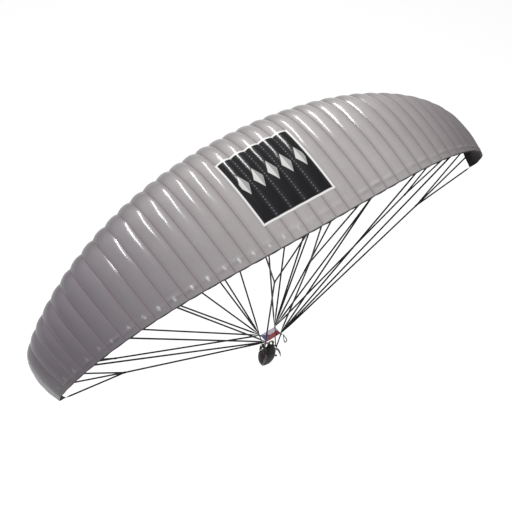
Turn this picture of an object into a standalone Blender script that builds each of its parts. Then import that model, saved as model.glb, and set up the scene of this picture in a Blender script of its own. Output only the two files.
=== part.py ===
"""A paraglider in flight: a ram-air canopy, its lines, risers, flag, brake handles and harness."""
import math

import bmesh
import bpy
from mathutils import Matrix, Vector

# Canopy plan and arch. t runs from -1 at the left tip to 1 at the right tip.
HALF_SPAN = 5.4
CELLS = 37
SPAN_CUBIC = 0.078
SPAN_QUINTIC = -0.208
ARCH_DROP = (-0.82, -1.97, 0.817)
TIP_SWEEP = (0.80, 0.02)
CHORD = (2.985, -2.174, 0.154, 0.304)
TIP_TOE_IN = math.radians(2.4)

# Section. Heights are shares of the chord; u runs from 0 at the nose to 1 at the trailing edge.
UPPER_DEPTH = 0.218
LOWER_DEPTH = 0.15
CAMBER = 0.04
CAMBER_AT = 0.3
TRAILING_HALF = 0.003
NOSE_BILLOW = 0.13
TAIL_BILLOW = 0.02
LOWER_BILLOW = 0.05
SHEET = 0.002
SEAM_GAP = 0.0004

# Sewn layout. The nose stations of the upper sail end at its lip, on the underside.
UPPER_STATIONS = (1.0, 0.78, 0.56, 0.36, 0.2, 0.09, 0.03, 0.007, 0.0)
LIP = 0.004
LIP_GAP = 0.002
MOUTH = 0.06
CLOSED_CELLS = 3
LOWER_STATIONS = (0.2, 0.5, 0.8, 1.0)
SECTIONS = {"left_tip": (0, 7), "left": (7, 14), "centre": (14, 23), "right": (23, 30), "right_tip": (30, 37)}
UPPER_STEPS = 3
LOWER_STEPS = 2
RIB = 0.002
RIB_HEADROOM = 0.0028
RIB_BITE = 0.001
RIB_TAIL = 0.8
RIB_INSET = 0.0016
MOUTH_EDGE = 0.01
CLOSED_EDGE = 0.12
BULGE_WIDTH = 1.12
BULGE_FADE = 0.45

# Each wing tip's hanging fin: its chord stations, their shares of its full drop, and its turned-in lip.
FIN_DROPS = {1.0: 0.68, 0.78: 0.78, 0.56: 0.70, 0.36: 0.37, 0.2: 0.06}
FIN_REACH = (0.02, 0.18, -0.46)
FIN_LIP = (-0.164, 0.04, -0.057)
FIN_PROFILE = ((0.0, 0.0), (0.5, 0.0), (0.9, 0.06), (1.0, 0.4), (1.0, 1.0))
FIN_OFF = 0.0009
TIP_END_SHIFT = 0.004

# Rigging, measured from the middle of the trailing edge.
RISER_X = 0.2115
FRONT_Y = 1.528
REAR_Y = 1.292
RISER_TOP = -4.992
LINE_RADIUS = 0.012
BRANCH_RADIUS = 0.0105
LINE_TIP = 0.002
LINE_END = 0.0022
TAPER = 0.6
LINK_PITCH = 0.006
LINK_ROD = 0.004
LINK_HALF_WIDTH = 0.031
LINK_HEIGHT = 0.052
KNOT_RADIUS = 0.02
KNOT_STRETCH = 1.9
KNOT_DEPTH = 0.007
TOUCH = 0.0004

# Each line: the seams, counted in cells from the middle, and the chord shares where its ends are sewn.
# An end without a chord share is tied to the tip fin's corner.
FRONT_LINES = {
    "a1": ((1.5, 0.08), (2.5, 0.08)),
    "a2": ((4.5, 0.08), (5.5, 0.08)),
    "b1": ((5.5, 0.34), (6.5, 0.34)),
    "a3": ((8.5, 0.08), (9.5, 0.08)),
    "a4": ((11.5, 0.08), (12.5, 0.08)),
    "a5": ((15.5, 0.08), (16.5, 0.08)),
    "a6": ((18.5, 0.30), (17.5, 0.58)),
}
REAR_LINES = {
    "brake": ((0.5, 0.985), (3.5, 0.985)),
    "c1": ((10.5, 0.60),),
    "c2": ((14.5, 0.60),),
    "c3": ((17.5, 0.62),),
    "c4": ((17.5, 0.70), (18.5, 0.78), (18.5, None)),
}
KNOTS = {"a6": (3.85, 1.52, -2.83), "c4": (3.87, 1.14, -2.87), "brake": (0.458, 0.689, -2.0)}
FORK_AT = 0.84

# Risers, karabiners and harness. The harness hangs rolled to one side under its karabiners.
WEB_WIDTH = 0.025
WEB = 0.004
EYE_CLEARANCE = 0.001
RISER_STEP = 0.0168
RING_CORNER = 0.3
CLIP_X = 0.18
CLIP_SHIFT = -0.012
CLIP_Y = 1.41
CLIP_Z = -5.50
CLIP_TILT = 0.12
CLIP_ROD = 0.0055
CLIP_HALF_WIDTH = 0.046
CLIP_HEIGHT = 0.09
HARNESS_ROLL = math.radians(16)

# The harness's rounded body, measured from the middle between the karabiners, and its seat.
POD_HALF = (0.185, 0.165, 0.36)
POD_CENTRE = (-0.03, 0.0, -0.21)
POD_BOXINESS = 0.72
POD_TAPER = (0.25, 0.30)
POD_AROUND = 20
POD_LEVELS = 9
POD_BACK = 15
POD_WALL = 0.025
SEAT_HEIGHT = -0.41
OPENING_FOOT = (0.14, -0.27)
OPENING_LEAN = math.radians(24)
BOARD = (0.205, 0.18, 0.01)
BOARD_CORNER = 0.045
STRAP = 0.003
STRAP_OFF = 0.002
ROOT_OFF = 0.00125
CHEST_SEAT = 0.0006
STRAP_MARGIN = 0.12
STRAP_BOW = 0.03
STRAP_WIDTH = 0.045
SHOULDER_ROOT = (15.3, 16.1)
SHOULDER_PATH = ((0.055, -0.035, 0.16), (0.07, 0.03, 0.155), (0.09, 0.09, 0.08), (0.10, 0.12, -0.03),
                 (0.115, 0.125, -0.15))
CHEST_AT = 2.5
LEG_PATH = ((0.03, 0.135, 0.0), (0.04, 0.19, -0.06), (0.05, 0.21, -0.14), (0.06, 0.185, -0.22),
            (0.065, 0.1543, -0.275), (0.065, 0.1548, -0.31))
STUB_ROOT = (18.6, 4.3)
STUB_RADIUS = 0.006
STUB_LENGTH = 0.05
STUB_OFF = 0.0016
KNOB_RADIUS = 0.021
KNOB_AT = 0.06
TAIL_WIDTH = 0.055
TAIL_PATH = ((0.0, 0.0), (0.06, -0.09), (0.105, -0.20), (0.137, -0.33), (0.148, -0.45))

FLAG_LENGTH = 0.4134
FLAG_DEPTH = 0.235
FLAG_SHEET = 0.002
FLAG_SAG = 0.012
FLAG_RIPPLE = 0.004
FLAG_BELOW = 0.012
FLAG_STEPS = (8, 3)

# Brake handles: the cord's fixed end, the loop's corners (across, along) and its leaning direction.
HANDLE_TOP = (0.265, -0.03, -0.085)
HANDLE_LEAN = (0.12, -0.23, -1.0)
HANDLE_OUT = 0.12
HANDLE_LOOP = ((0.0, 0.0), (0.014, -0.065), (0.036, -0.155), (0.042, -0.205), (0.024, -0.24), (-0.018, -0.247),
               (-0.03, -0.21), (-0.024, -0.145), (-0.012, -0.065))
HANDLE_ROD = 0.007
CORD_ROD = 0.003
CORD_SAG = 0.004
CORD_SEAT = 0.0026

COLOURS = {
    "sail_cloth": ((0.42, 0.40, 0.41), 0.35, 0.0),
    "sail_underside": ((0.30, 0.28, 0.29), 0.5, 0.0),
    "line_cord": ((0.02, 0.02, 0.022), 0.7, 0.0),
    "black_webbing": ((0.03, 0.027, 0.03), 0.75, 0.0),
    "flag_cloth": ((0.6, 0.55, 0.58), 0.6, 0.0),
    "steel": ((0.35, 0.35, 0.36), 0.3, 1.0),
    "harness_cloth": ((0.05, 0.045, 0.05), 0.7, 0.0),
    "pink_grey_webbing": ((0.22, 0.18, 0.19), 0.7, 0.0),
    "seat_board": ((0.25, 0.18, 0.10), 0.6, 0.0),
    "handle_webbing": ((0.06, 0.045, 0.02), 0.7, 0.0),
    "black_plastic": ((0.01, 0.01, 0.01), 0.4, 0.0),
}


def clear_scene():
    for thing in list(bpy.data.objects):
        bpy.data.objects.remove(thing)


def collection(name, helper=False):
    made = bpy.data.collections.new(name)
    bpy.context.scene.collection.children.link(made)
    made.hide_render = helper
    return made


def material(name):
    found = bpy.data.materials.get(name)
    if found:
        return found
    colour, roughness, metallic = COLOURS[name]
    found = bpy.data.materials.new(name)
    found.use_nodes = True
    shader = found.node_tree.nodes["Principled BSDF"]
    shader.inputs["Base Color"].default_value = (*colour, 1.0)
    shader.inputs["Roughness"].default_value = roughness
    shader.inputs["Metallic"].default_value = metallic
    return found


def add_mesh(name, points, faces, where, finish=None):
    """An object from points and faces, its faces turned outwards."""
    mesh = bpy.data.meshes.new(name)
    mesh.from_pydata([tuple(point) for point in points], [], faces)
    tidy = bmesh.new()
    tidy.from_mesh(mesh)
    bmesh.ops.recalc_face_normals(tidy, faces=tidy.faces)
    tidy.to_mesh(mesh)
    tidy.free()
    made = bpy.data.objects.new(name, mesh)
    where.objects.link(made)
    if finish:
        mesh.materials.append(material(finish))
    return made


def as_mesh(curve, where):
    """The curve object's solid as a mesh object of the same name, its cap seams welded."""
    bpy.context.view_layer.update()
    graph = bpy.context.evaluated_depsgraph_get()
    mesh = bpy.data.meshes.new_from_object(curve.evaluated_get(graph))
    name = curve.name
    place = curve.matrix_world.copy()
    bpy.data.objects.remove(curve)
    tidy = bmesh.new()
    tidy.from_mesh(mesh)
    bmesh.ops.remove_doubles(tidy, verts=tidy.verts, dist=0.00002)
    bmesh.ops.recalc_face_normals(tidy, faces=tidy.faces)
    tidy.to_mesh(mesh)
    tidy.free()
    made = bpy.data.objects.new(name, mesh)
    made.matrix_world = place
    where.objects.link(made)
    return made


def join_solid(base, other, operation="UNION"):
    change = base.modifiers.new(operation.lower() + "_" + other.name, "BOOLEAN")
    change.operation = operation
    change.solver = "EXACT"
    change.object = other
    other.display_type = "WIRE"


# Canopy geometry

def span_point(t):
    """Middle of the section's trailing edge at t, and the direction out of the arch there."""
    x = HALF_SPAN * (t * (1 - SPAN_CUBIC - SPAN_QUINTIC) + SPAN_CUBIC * t**3 + SPAN_QUINTIC * t**5)
    along_x = HALF_SPAN * ((1 - SPAN_CUBIC - SPAN_QUINTIC) + 3 * SPAN_CUBIC * t**2 + 5 * SPAN_QUINTIC * t**4)
    z = sum(drop * t ** (2 * power + 2) for power, drop in enumerate(ARCH_DROP))
    along_z = sum((2 * power + 2) * drop * t ** (2 * power + 1) for power, drop in enumerate(ARCH_DROP))
    y = TIP_SWEEP[0] * t**2 + TIP_SWEEP[1] * t**6
    return Vector((x, y, z)), Vector((-along_z, 0, along_x)).normalized()


def chord_at(t):
    return sum(share * t ** (2 * power) for power, share in enumerate(CHORD))


def round_shape(u):
    """A wing section's half thickness, 0.5 at most, against the chord share u."""
    return 5 * (0.2969 * math.sqrt(u) - 0.126 * u - 0.3516 * u**2 + 0.2843 * u**3 - 0.1036 * u**4)


def section_height(u, upper):
    if not upper:
        return -LOWER_DEPTH * round_shape(u)
    if u < CAMBER_AT:
        lift = CAMBER * (2 * CAMBER_AT * u - u * u) / CAMBER_AT**2
    else:
        lift = CAMBER * ((1 - 2 * CAMBER_AT) + 2 * CAMBER_AT * u - u * u) / (1 - CAMBER_AT) ** 2
    return UPPER_DEPTH * round_shape(u) + lift


def section_normal(u, upper):
    """Outward direction in the section's plane: (forward, out of the arch)."""
    if u <= 0:
        return Vector((1, 0))
    step = min(0.002, u / 2)
    rise = (section_height(u + step, upper) - section_height(u - step, upper)) / (2 * step)
    sign = 1 if upper else -1
    return Vector((sign * rise, sign)).normalized()


def billow(t, u, upper, within):
    """How far the cloth stands out between two seams; within runs 0 to 1 across the cell."""
    width = 2 * HALF_SPAN / CELLS * BULGE_WIDTH
    if upper:
        share = TAIL_BILLOW + (NOSE_BILLOW - TAIL_BILLOW) * (1 - u) ** 0.7
    else:
        share = LOWER_BILLOW
    fade = 1 - BULGE_FADE * t * t
    return width * share * fade * 4 * within * (1 - within)


def sail_point(t, u, upper, within=0.0, inward=0.0):
    """A point on the outside of a sail, or that far inside it."""
    base, out = span_point(t)
    chord = chord_at(t)
    normal = section_normal(u, upper)
    stand = billow(t, u, upper, within) - inward
    forward = (1 - u) * chord + normal.x * stand
    height = section_height(u, upper) * chord + normal.y * stand
    height += TRAILING_HALF if upper else -TRAILING_HALF
    point = base + Vector((0, forward, 0)) + out * height
    point.x -= math.copysign(t * t, t) * TIP_TOE_IN * forward
    return point - CROWN


def crown_point():
    """The highest point of the middle cell, which is the model's origin."""
    global CROWN
    CROWN = Vector((0, 0, 0))
    return sail_point(0.0, 0.3, True, 0.5)


def rigging_point(x, y, z):
    return Vector((x, y, z)) - CROWN


def seam_t(seam):
    return (2 * seam - CELLS) / CELLS


def mouth_at(cell):
    """Chord share of the lower sail's front edge; the cells next to the tips have no mouth."""
    return LIP + LIP_GAP if cell < CLOSED_CELLS or cell >= CELLS - CLOSED_CELLS else MOUTH


def columns(first, last, steps):
    """(t, share across its cell, cell) for each column of a stretch of sail."""
    made = []
    for cell in range(first, last):
        for step in range(steps):
            within = step / steps
            made.append((seam_t(cell + within), within, cell))
    made.append((seam_t(last), 0.0, last - 1))
    return made


def grid_faces(rows, across):
    return [
        (row * across + i, row * across + i + 1, (row + 1) * across + i + 1, (row + 1) * across + i)
        for row in range(rows - 1)
        for i in range(across - 1)
    ]


def sail(name, sheet_rows, across, where, finish):
    """A sheet of cloth from rows of outside points, thickened inwards."""
    points = [point for row in sheet_rows for point in row]
    mesh = bpy.data.meshes.new(name)
    mesh.from_pydata([tuple(point) for point in points], [], grid_faces(len(sheet_rows), across))
    mesh.materials.append(material(finish))
    made = bpy.data.objects.new(name, mesh)
    where.objects.link(made)
    solid = made.modifiers.new("cloth_thickness", "SOLIDIFY")
    solid.thickness = SHEET
    solid.use_even_offset = True
    solid.offset = -1
    return made


def pulled_in(t, index, count):
    """t moved a hair towards the panel's middle at its two ends, to part it from the next panel."""
    hair = SEAM_GAP / 2 / HALF_SPAN
    if index == 0:
        return t + hair
    if index == count - 1:
        return t - hair
    return t


def upper_sail(part, first, last, where):
    cells = columns(first, last, UPPER_STEPS)
    rows = []
    for u, upper in [(u, True) for u in UPPER_STATIONS] + [(LIP, False)]:
        rows.append([
            sail_point(pulled_in(t, i, len(cells)), u, upper, within)
            for i, (t, within, _) in enumerate(cells)
        ])
    return sail("upper_sail_" + part, rows, len(cells), where, "sail_cloth")


def lower_stations(cell):
    return (mouth_at(cell),) + LOWER_STATIONS


def lower_sheet(part, first, last, where):
    cells = columns(first, last, LOWER_STEPS)
    rows = []
    for row in range(len(LOWER_STATIONS) + 1):
        rows.append([
            sail_point(pulled_in(t, i, len(cells)), lower_stations(cell)[row], False, within)
            for i, (t, within, cell) in enumerate(cells)
        ])
    return sail("lower_sail_" + part, [row[::-1] for row in rows[::-1]], len(cells), where, "sail_underside")


def rib_outline(t, cell):
    """The rib's points: along the top from the tail to the nose, then back along the bottom."""
    top = [sail_point(t, u, True, 0, RIB_HEADROOM) for u in UPPER_STATIONS[:-2]]
    top[0] = top[1].lerp(top[0], RIB_TAIL)
    bottom = [sail_point(t, u, False, 0, RIB_BITE) for u in lower_stations(cell)]
    front = sail_point(t, MOUTH, False, 0, RIB_BITE)
    if mouth_at(cell) < MOUTH:
        bottom[0] = bottom[0].lerp(bottom[1], CLOSED_EDGE)
    else:
        bottom[0] = front.lerp(bottom[1], MOUTH_EDGE)
    bottom[-1] = bottom[-2].lerp(bottom[-1], RIB_TAIL)
    return top + bottom


def rib_set(part, first, last, where):
    """Every rib of a stretch, as slabs; each of its end ribs stands just inside the end."""
    points = []
    faces = []
    ends = {0: RIB_INSET, CELLS: -RIB_INSET}
    seams = range(first, last + 1) if last == CELLS else range(first, last)
    for seam in seams:
        t = seam_t(seam)
        inside = ends.get(seam, RIB_INSET if seam == first else 0.0)
        outline = rib_outline(t, min(seam, CELLS - 1))
        base, out = span_point(t)
        along = Vector((out.z, 0, -out.x))
        start = len(points)
        count = len(outline)
        points += [point + along * (inside - RIB / 2) for point in outline]
        points += [point + along * (inside + RIB / 2) for point in outline]
        faces.append(tuple(range(start, start + count)))
        faces.append(tuple(range(start + 2 * count - 1, start + count - 1, -1)))
        for i in range(count):
            follow = (i + 1) % count
            faces.append((start + i, start + count + i, start + count + follow, start + follow))
    return add_mesh("ribs_" + part, points, faces, where)


def fin_point(side, u, down, lip):
    """A point of the tip fin's middle layer, below the seam at that chord share."""
    base, out = span_point(side)
    along = Vector((out.z, 0, -out.x)) * side
    full = FIN_DROPS[u]
    curl = lip * (u - min(FIN_DROPS)) / (1 - min(FIN_DROPS))
    reach = Vector((side * FIN_REACH[0], *FIN_REACH[1:])) * full * down
    turned = Vector((side * FIN_LIP[0], *FIN_LIP[1:])) * curl
    return sail_point(side, u, True, 0.0, SHEET / 2) + along * FIN_OFF + reach + turned


def fin_corner(side):
    """The lip's rear corner, where a line is tied, and the direction in which its edge faces."""
    edge = fin_point(side, 1.0, *FIN_PROFILE[-1])
    return edge, (edge - fin_point(side, 1.0, *FIN_PROFILE[-2])).normalized()


def tip_fin(side, hand, where):
    rows = [[fin_point(side, u, down, lip) for u in FIN_DROPS] for down, lip in FIN_PROFILE]
    sail("tip_fin_" + hand, rows, len(FIN_DROPS), where, "sail_cloth").modifiers[0].offset = 0


def canopy(where, helpers):
    for part, (first, last) in SECTIONS.items():
        upper_sail(part, first, last, where)
        sheet = lower_sheet(part, first, last, where)
        join_solid(sheet, rib_set(part, first, last, helpers))
    for side, hand in ((-1, "left"), (1, "right")):
        tip_fin(side, hand, where)


# Lines

def lower_seam_point(cells_out, share, side):
    """The point of the underside seam at that chord share, as the faceted sheet has it, and its normal."""
    seam = CELLS / 2 + side * cells_out
    t = seam_t(seam)
    cell = min(max(int(seam), 0), CELLS - 1)
    stations = lower_stations(cell)
    for front, back in zip(stations, stations[1:]):
        if share <= back:
            break
    start = sail_point(t, front, False)
    end = sail_point(t, back, False)
    point = start.lerp(end, (share - front) / (back - front))
    base, out = span_point(t)
    flow = (end - start).normalized()
    normal = -(out - flow * out.dot(flow)).normalized()
    if abs(t) == 1:
        point += Vector((out.z, 0, -out.x)) * -math.copysign(TIP_END_SHIFT, t)
    return point, normal


def tube(name, points, radii, where):
    """A straight-sided round cord through the points, with a radius at each."""
    curve = bpy.data.curves.new(name, "CURVE")
    curve.dimensions = "3D"
    curve.bevel_depth = 1.0
    curve.bevel_resolution = 1
    curve.use_fill_caps = True
    spline = curve.splines.new("POLY")
    spline.points.add(len(points) - 1)
    for place, point, radius in zip(spline.points, points, radii):
        place.co = (*point, 1)
        place.radius = radius
    made = bpy.data.objects.new(name, curve)
    where.objects.link(made)
    return made


def start_on_link(bar, direction):
    """Where a line leaves the link's top bar, clear of the bar by a hair."""
    lean = abs(direction.y)
    away = (LINK_ROD + TOUCH + LINE_END * lean) / math.sqrt(1 - lean * lean)
    return bar + direction * away


def end_on_seam(knot, seam):
    """The line's last point, just short of the cloth."""
    point, normal = seam
    direction = (point - knot).normalized()
    facing = max(0.2, -direction.dot(normal))
    tilt = math.sqrt(max(0.0, 1 - facing * facing))
    back = (TOUCH + LINE_TIP * (tilt + 0.3)) / facing
    return point - direction * back


def branch(name, knot, seam, radius, where):
    end = end_on_seam(knot, seam)
    run = end - knot
    points = [knot - run.normalized() * KNOT_DEPTH, knot + run * 0.5, knot + run * 0.93, end]
    return tube(name, points, [radius, radius, radius, LINE_TIP], where)


def suspension_line(name, bar, ends, side, where, helpers):
    seams = [lower_seam_point(out, share, side) if share else fin_corner(side) for out, share in ends]
    middle = sum((seam[0] for seam in seams), Vector()) / len(seams)
    key = name.split("_")[0]
    if key in KNOTS:
        x, y, z = KNOTS[key]
        knot = rigging_point(side * x, y, z)
    else:
        knot = bar.lerp(middle, FORK_AT)
    if len(seams) == 1:
        last = end_on_seam(bar, seams[0])
        start = start_on_link(bar, (last - bar).normalized())
        run = last - start
        points = [start, start + run.normalized() * TAPER, start.lerp(last, 0.97), last]
        radii = [LINE_END, LINE_RADIUS, LINE_RADIUS, LINE_TIP]
        line = tube("line_" + name, points, radii, where)
        line.data.materials.append(material("line_cord"))
        return
    direction = (knot - bar).normalized()
    start = start_on_link(bar, direction)
    points = [start, start + direction * TAPER, knot + direction * KNOT_DEPTH]
    line = as_mesh(tube("line_" + name, points, [LINE_END, LINE_RADIUS, LINE_RADIUS], where), where)
    line.data.materials.append(material("line_cord"))
    for number, seam in enumerate(seams):
        arm = branch(f"arm_{name}_{number}", knot, seam, BRANCH_RADIUS, helpers)
        join_solid(line, as_mesh(arm, helpers))
    bpy.ops.mesh.primitive_uv_sphere_add(segments=9, ring_count=6, radius=KNOT_RADIUS, location=knot)
    ball = bpy.context.object
    ball.name = "knot_" + name
    for owner in list(ball.users_collection):
        owner.objects.unlink(ball)
    helpers.objects.link(ball)
    ball.rotation_euler = direction.to_track_quat("Z", "Y").to_euler()
    ball.data.transform(Matrix.Diagonal((1, 1, KNOT_STRETCH, 1)))
    join_solid(line, ball)


def bars(side, y, count):
    """Where each line sits on its link's top bar, the foremost first."""
    spread = (count - 1) / 2
    return [
        rigging_point(side * RISER_X, y - (i - spread) * LINK_PITCH, RISER_TOP)
        for i in range(count)
    ]


def lines(where, helpers):
    for side, hand in ((-1, "left"), (1, "right")):
        for y, rows in ((FRONT_Y, FRONT_LINES), (REAR_Y, REAR_LINES)):
            for bar, (key, ends) in zip(bars(side, y, len(rows)), rows.items()):
                suspension_line(f"{key}_{hand}", bar, ends, side, where, helpers)


# Metal links, webbing and handles

def ring(name, centre, half_width, height, rod, where):
    """A rounded rectangular ring of rod in the YZ plane, its top bar's axis through centre."""
    corner = half_width * RING_CORNER
    low = -height
    points = []
    for cx, cz, start in (
        (half_width - corner, -corner, 90),
        (half_width - corner, low + corner, 0),
        (-half_width + corner, low + corner, -90),
        (-half_width + corner, -corner, -180),
    ):
        for step in range(3):
            angle = math.radians(start - 45 * step)
            points.append(Vector((0, cx + corner * math.cos(angle), cz + corner * math.sin(angle))))
    curve = bpy.data.curves.new(name, "CURVE")
    curve.dimensions = "3D"
    curve.bevel_depth = rod
    curve.bevel_resolution = 1
    spline = curve.splines.new("POLY")
    spline.points.add(len(points) - 1)
    for place, point in zip(spline.points, points):
        place.co = (*point, 1)
    spline.use_cyclic_u = True
    curve.materials.append(material("steel"))
    made = bpy.data.objects.new(name, curve)
    where.objects.link(made)
    made.location = centre
    return made


def circle_points(centre, radius, count, start=0.0):
    return [
        Vector((centre[0] + radius * math.cos(start + 2 * math.pi * i / count),
                centre[1] + radius * math.sin(start + 2 * math.pi * i / count), 0))
        for i in range(count)
    ]


def arc_points(centre, radius, first, last, count):
    return [
        Vector((centre[0] + radius * math.cos(first + (last - first) * i / (count - 1)),
                centre[1] + radius * math.sin(first + (last - first) * i / (count - 1)), 0))
        for i in range(count)
    ]


def end_outline(centre, radius, up):
    """The webbing's outline round one end: an eye's arc, or a plain end where radius is 0."""
    turn = math.radians(90 if up else -90)
    if not radius:
        half = WEB / 2 if up else -WEB / 2
        return [Vector((half, centre, 0)), Vector((-half, centre, 0))]
    side = math.asin(WEB / 2 / radius)
    return arc_points((0, centre), radius, turn - math.pi + side, turn + math.pi - side, 9)


def webbing(name, top, bottom, rods, width, where, finish="black_webbing"):
    """A strap between bars that run along Y, its ends sewn into eyes round rods of those radii."""
    run = top - bottom
    level_run = Vector((run.x, 0, run.z))
    length = level_run.length
    eyes = [rod + EYE_CLEARANCE if rod else 0 for rod in rods]
    outer = [eye + WEB if eye else 0 for eye in eyes]
    outlines = [end_outline(0, outer[0], True) + end_outline(-length, outer[1], False)]
    outlines += [circle_points((0, -length * i), eye, 8) for i, eye in enumerate(eyes) if eye]
    curve = bpy.data.curves.new(name, "CURVE")
    curve.dimensions = "2D"
    curve.fill_mode = "BOTH"
    curve.extrude = width / 2
    for outline in outlines:
        spline = curve.splines.new("POLY")
        spline.points.add(len(outline) - 1)
        for place, point in zip(spline.points, outline):
            place.co = (*point, 1)
        spline.use_cyclic_u = True
    made = bpy.data.objects.new(name, curve)
    where.objects.link(made)
    made = as_mesh(made, where)
    made.data.materials.append(material(finish))
    thin = level_run.cross(Vector((0, 1, 0))).normalized()
    made.data.transform(Matrix((thin, run / length, Vector((0, 1, 0)))).transposed().to_4x4())
    made.location = top
    return made


def clip_top(side):
    """The axis of a karabiner's top bar."""
    return rigging_point(CLIP_SHIFT + side * CLIP_X, CLIP_Y, CLIP_Z - side * CLIP_TILT)


def clip_foot(side):
    """The axis of a karabiner's lower bar. The karabiner leans as the harness does."""
    return clip_top(side) + Matrix.Rotation(HARNESS_ROLL, 3, "Y") @ Vector((0, 0, -CLIP_HEIGHT))


def risers(where):
    for side, hand in ((-1, "left"), (1, "right")):
        for y, row, step in ((FRONT_Y, "front", RISER_STEP), (REAR_Y, "rear", -RISER_STEP)):
            link = rigging_point(side * RISER_X, y, RISER_TOP)
            ring(f"link_{row}_{hand}", link, LINK_HALF_WIDTH, LINK_HEIGHT, LINK_ROD, where)
            top = link - Vector((0, 0, LINK_HEIGHT))
            bottom = clip_top(side) + Vector((0, step, 0))
            webbing(f"riser_{row}_{hand}", top, bottom, (LINK_ROD, CLIP_ROD), WEB_WIDTH, where)


def karabiners(where):
    for side, hand in ((-1, "left"), (1, "right")):
        clip = ring("karabiner_" + hand, clip_top(side), CLIP_HALF_WIDTH, CLIP_HEIGHT, CLIP_ROD, where)
        clip.rotation_euler = (0, HARNESS_ROLL, 0)


def flag(where):
    """A small flag stretched flat between the tops of the risers."""
    long_steps, deep_steps = FLAG_STEPS
    rows = []
    for j in range(deep_steps + 1):
        v = j / deep_steps
        row = []
        for i in range(long_steps + 1):
            u = i / long_steps
            hang = FLAG_SAG * 4 * u * (1 - u) + FLAG_RIPPLE * math.sin(6.0 * u + 2.0 * v)
            x = (u - 0.5) * FLAG_LENGTH
            y = (FRONT_Y + REAR_Y) / 2 + (v - 0.5) * FLAG_DEPTH
            row.append(rigging_point(x, y, RISER_TOP - FLAG_BELOW - hang))
        rows.append(row)
    made = sail("flag", rows, long_steps + 1, where, "flag_cloth")
    made.modifiers[0].thickness = FLAG_SHEET


def brake_handle(side, hand, where, helpers):
    """A webbing loop on a short cord, hanging beside the rear riser."""
    top = rigging_point(side * HANDLE_TOP[0], REAR_Y + HANDLE_TOP[1], RISER_TOP + HANDLE_TOP[2])
    lean = Vector((side * HANDLE_LEAN[0], *HANDLE_LEAN[1:])).normalized()
    out = Vector((side, 0, HANDLE_OUT)).normalized()
    points = [top + out * across - lean * down for across, down in HANDLE_LOOP]
    curve = bpy.data.curves.new("brake_handle_" + hand, "CURVE")
    curve.dimensions = "3D"
    curve.bevel_depth = HANDLE_ROD
    curve.bevel_resolution = 1
    spline = curve.splines.new("POLY")
    spline.points.add(len(points) - 1)
    for place, point in zip(spline.points, points):
        place.co = (*point, 1)
    spline.use_cyclic_u = True
    loop = bpy.data.objects.new("brake_handle_" + hand, curve)
    where.objects.link(loop)
    loop = as_mesh(loop, where)
    loop.data.materials.append(material("handle_webbing"))
    tie = rigging_point(side * (RISER_X + LINK_ROD + CORD_SEAT), REAR_Y, RISER_TOP)
    cord = tube("cord_" + hand, [tie, tie.lerp(top, 0.5) - Vector((0, 0, CORD_SAG)), top + lean * CORD_ROD],
                [CORD_ROD, CORD_ROD, CORD_ROD + 0.001], helpers)
    join_solid(loop, as_mesh(cord, helpers))


# Harness

def rounded(value):
    return math.copysign(abs(value) ** POD_BOXINESS, value)


def pod_point(column, level, shrink=0.0):
    """A point of the harness's rounded body. Columns go round it and levels from bottom to top."""
    turn = 2 * math.pi * column / POD_AROUND
    climb = math.pi * (level / POD_LEVELS - 0.5)
    wide, deep, tall = (half - shrink for half in POD_HALF)
    flat = abs(math.cos(climb)) ** POD_BOXINESS * (1 - POD_TAPER[climb > 0] * abs(math.sin(climb)))
    return Vector(POD_CENTRE) + Vector((
        wide * flat * rounded(math.cos(turn)),
        deep * flat * rounded(math.sin(turn)),
        tall * rounded(math.sin(climb)),
    ))


def pod(name, where, shrink=0.0, floor=None):
    """The closed rounded body, or one that much smaller with a level floor."""
    points = [pod_point(0, 0, shrink)]
    for level in range(1, POD_LEVELS):
        points += [pod_point(column, level, shrink) for column in range(POD_AROUND)]
    points.append(pod_point(0, POD_LEVELS, shrink))
    if floor is not None:
        for point in points:
            point.z = max(point.z, floor)
    last = len(points) - 1
    faces = []
    for column in range(POD_AROUND):
        follow = (column + 1) % POD_AROUND
        faces.append((0, 1 + follow, 1 + column))
        for level in range(POD_LEVELS - 2):
            low = 1 + level * POD_AROUND
            faces.append((low + column, low + follow, low + POD_AROUND + follow, low + POD_AROUND + column))
        low = 1 + (POD_LEVELS - 2) * POD_AROUND
        faces.append((low + column, low + follow, last))
    return add_mesh(name, points, faces, where)


def block(name, low, high, where):
    bpy.ops.mesh.primitive_cube_add(size=1)
    made = bpy.context.object
    made.name = name
    for owner in list(made.users_collection):
        owner.objects.unlink(made)
    where.objects.link(made)
    sizes = [b - a for a, b in zip(low, high)]
    middle = [(a + b) / 2 for a, b in zip(low, high)]
    made.data.transform(Matrix.Translation(middle) @ Matrix.Diagonal((*sizes, 1)))
    return made


def hang(made, holder):
    """Carries a piece modelled about the karabiners' middle to the harness's place."""
    made.parent = holder
    return made


def facet_point(column, level):
    """A point on the body's flat facets, at shares of the way between its grid points."""
    left, low = math.floor(column), math.floor(level)
    lower = pod_point(left, low).lerp(pod_point(left + 1, low), column - left)
    upper = pod_point(left, low + 1).lerp(pod_point(left + 1, low + 1), column - left)
    return lower.lerp(upper, level - low)


def strip(name, edges, where, finish, offset=0.0):
    """A strap from pairs of points on its two edges, thickened to one side or evenly."""
    points = [point for pair in edges for point in pair]
    faces = [(2 * i, 2 * i + 1, 2 * i + 3, 2 * i + 2) for i in range(len(edges) - 1)]
    mesh = bpy.data.meshes.new(name)
    mesh.from_pydata([tuple(point) for point in points], [], faces)
    mesh.materials.append(material(finish))
    made = bpy.data.objects.new(name, mesh)
    where.objects.link(made)
    solid = made.modifiers.new("webbing_thickness", "SOLIDIFY")
    solid.thickness = STRAP
    solid.offset = offset
    return made


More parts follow.
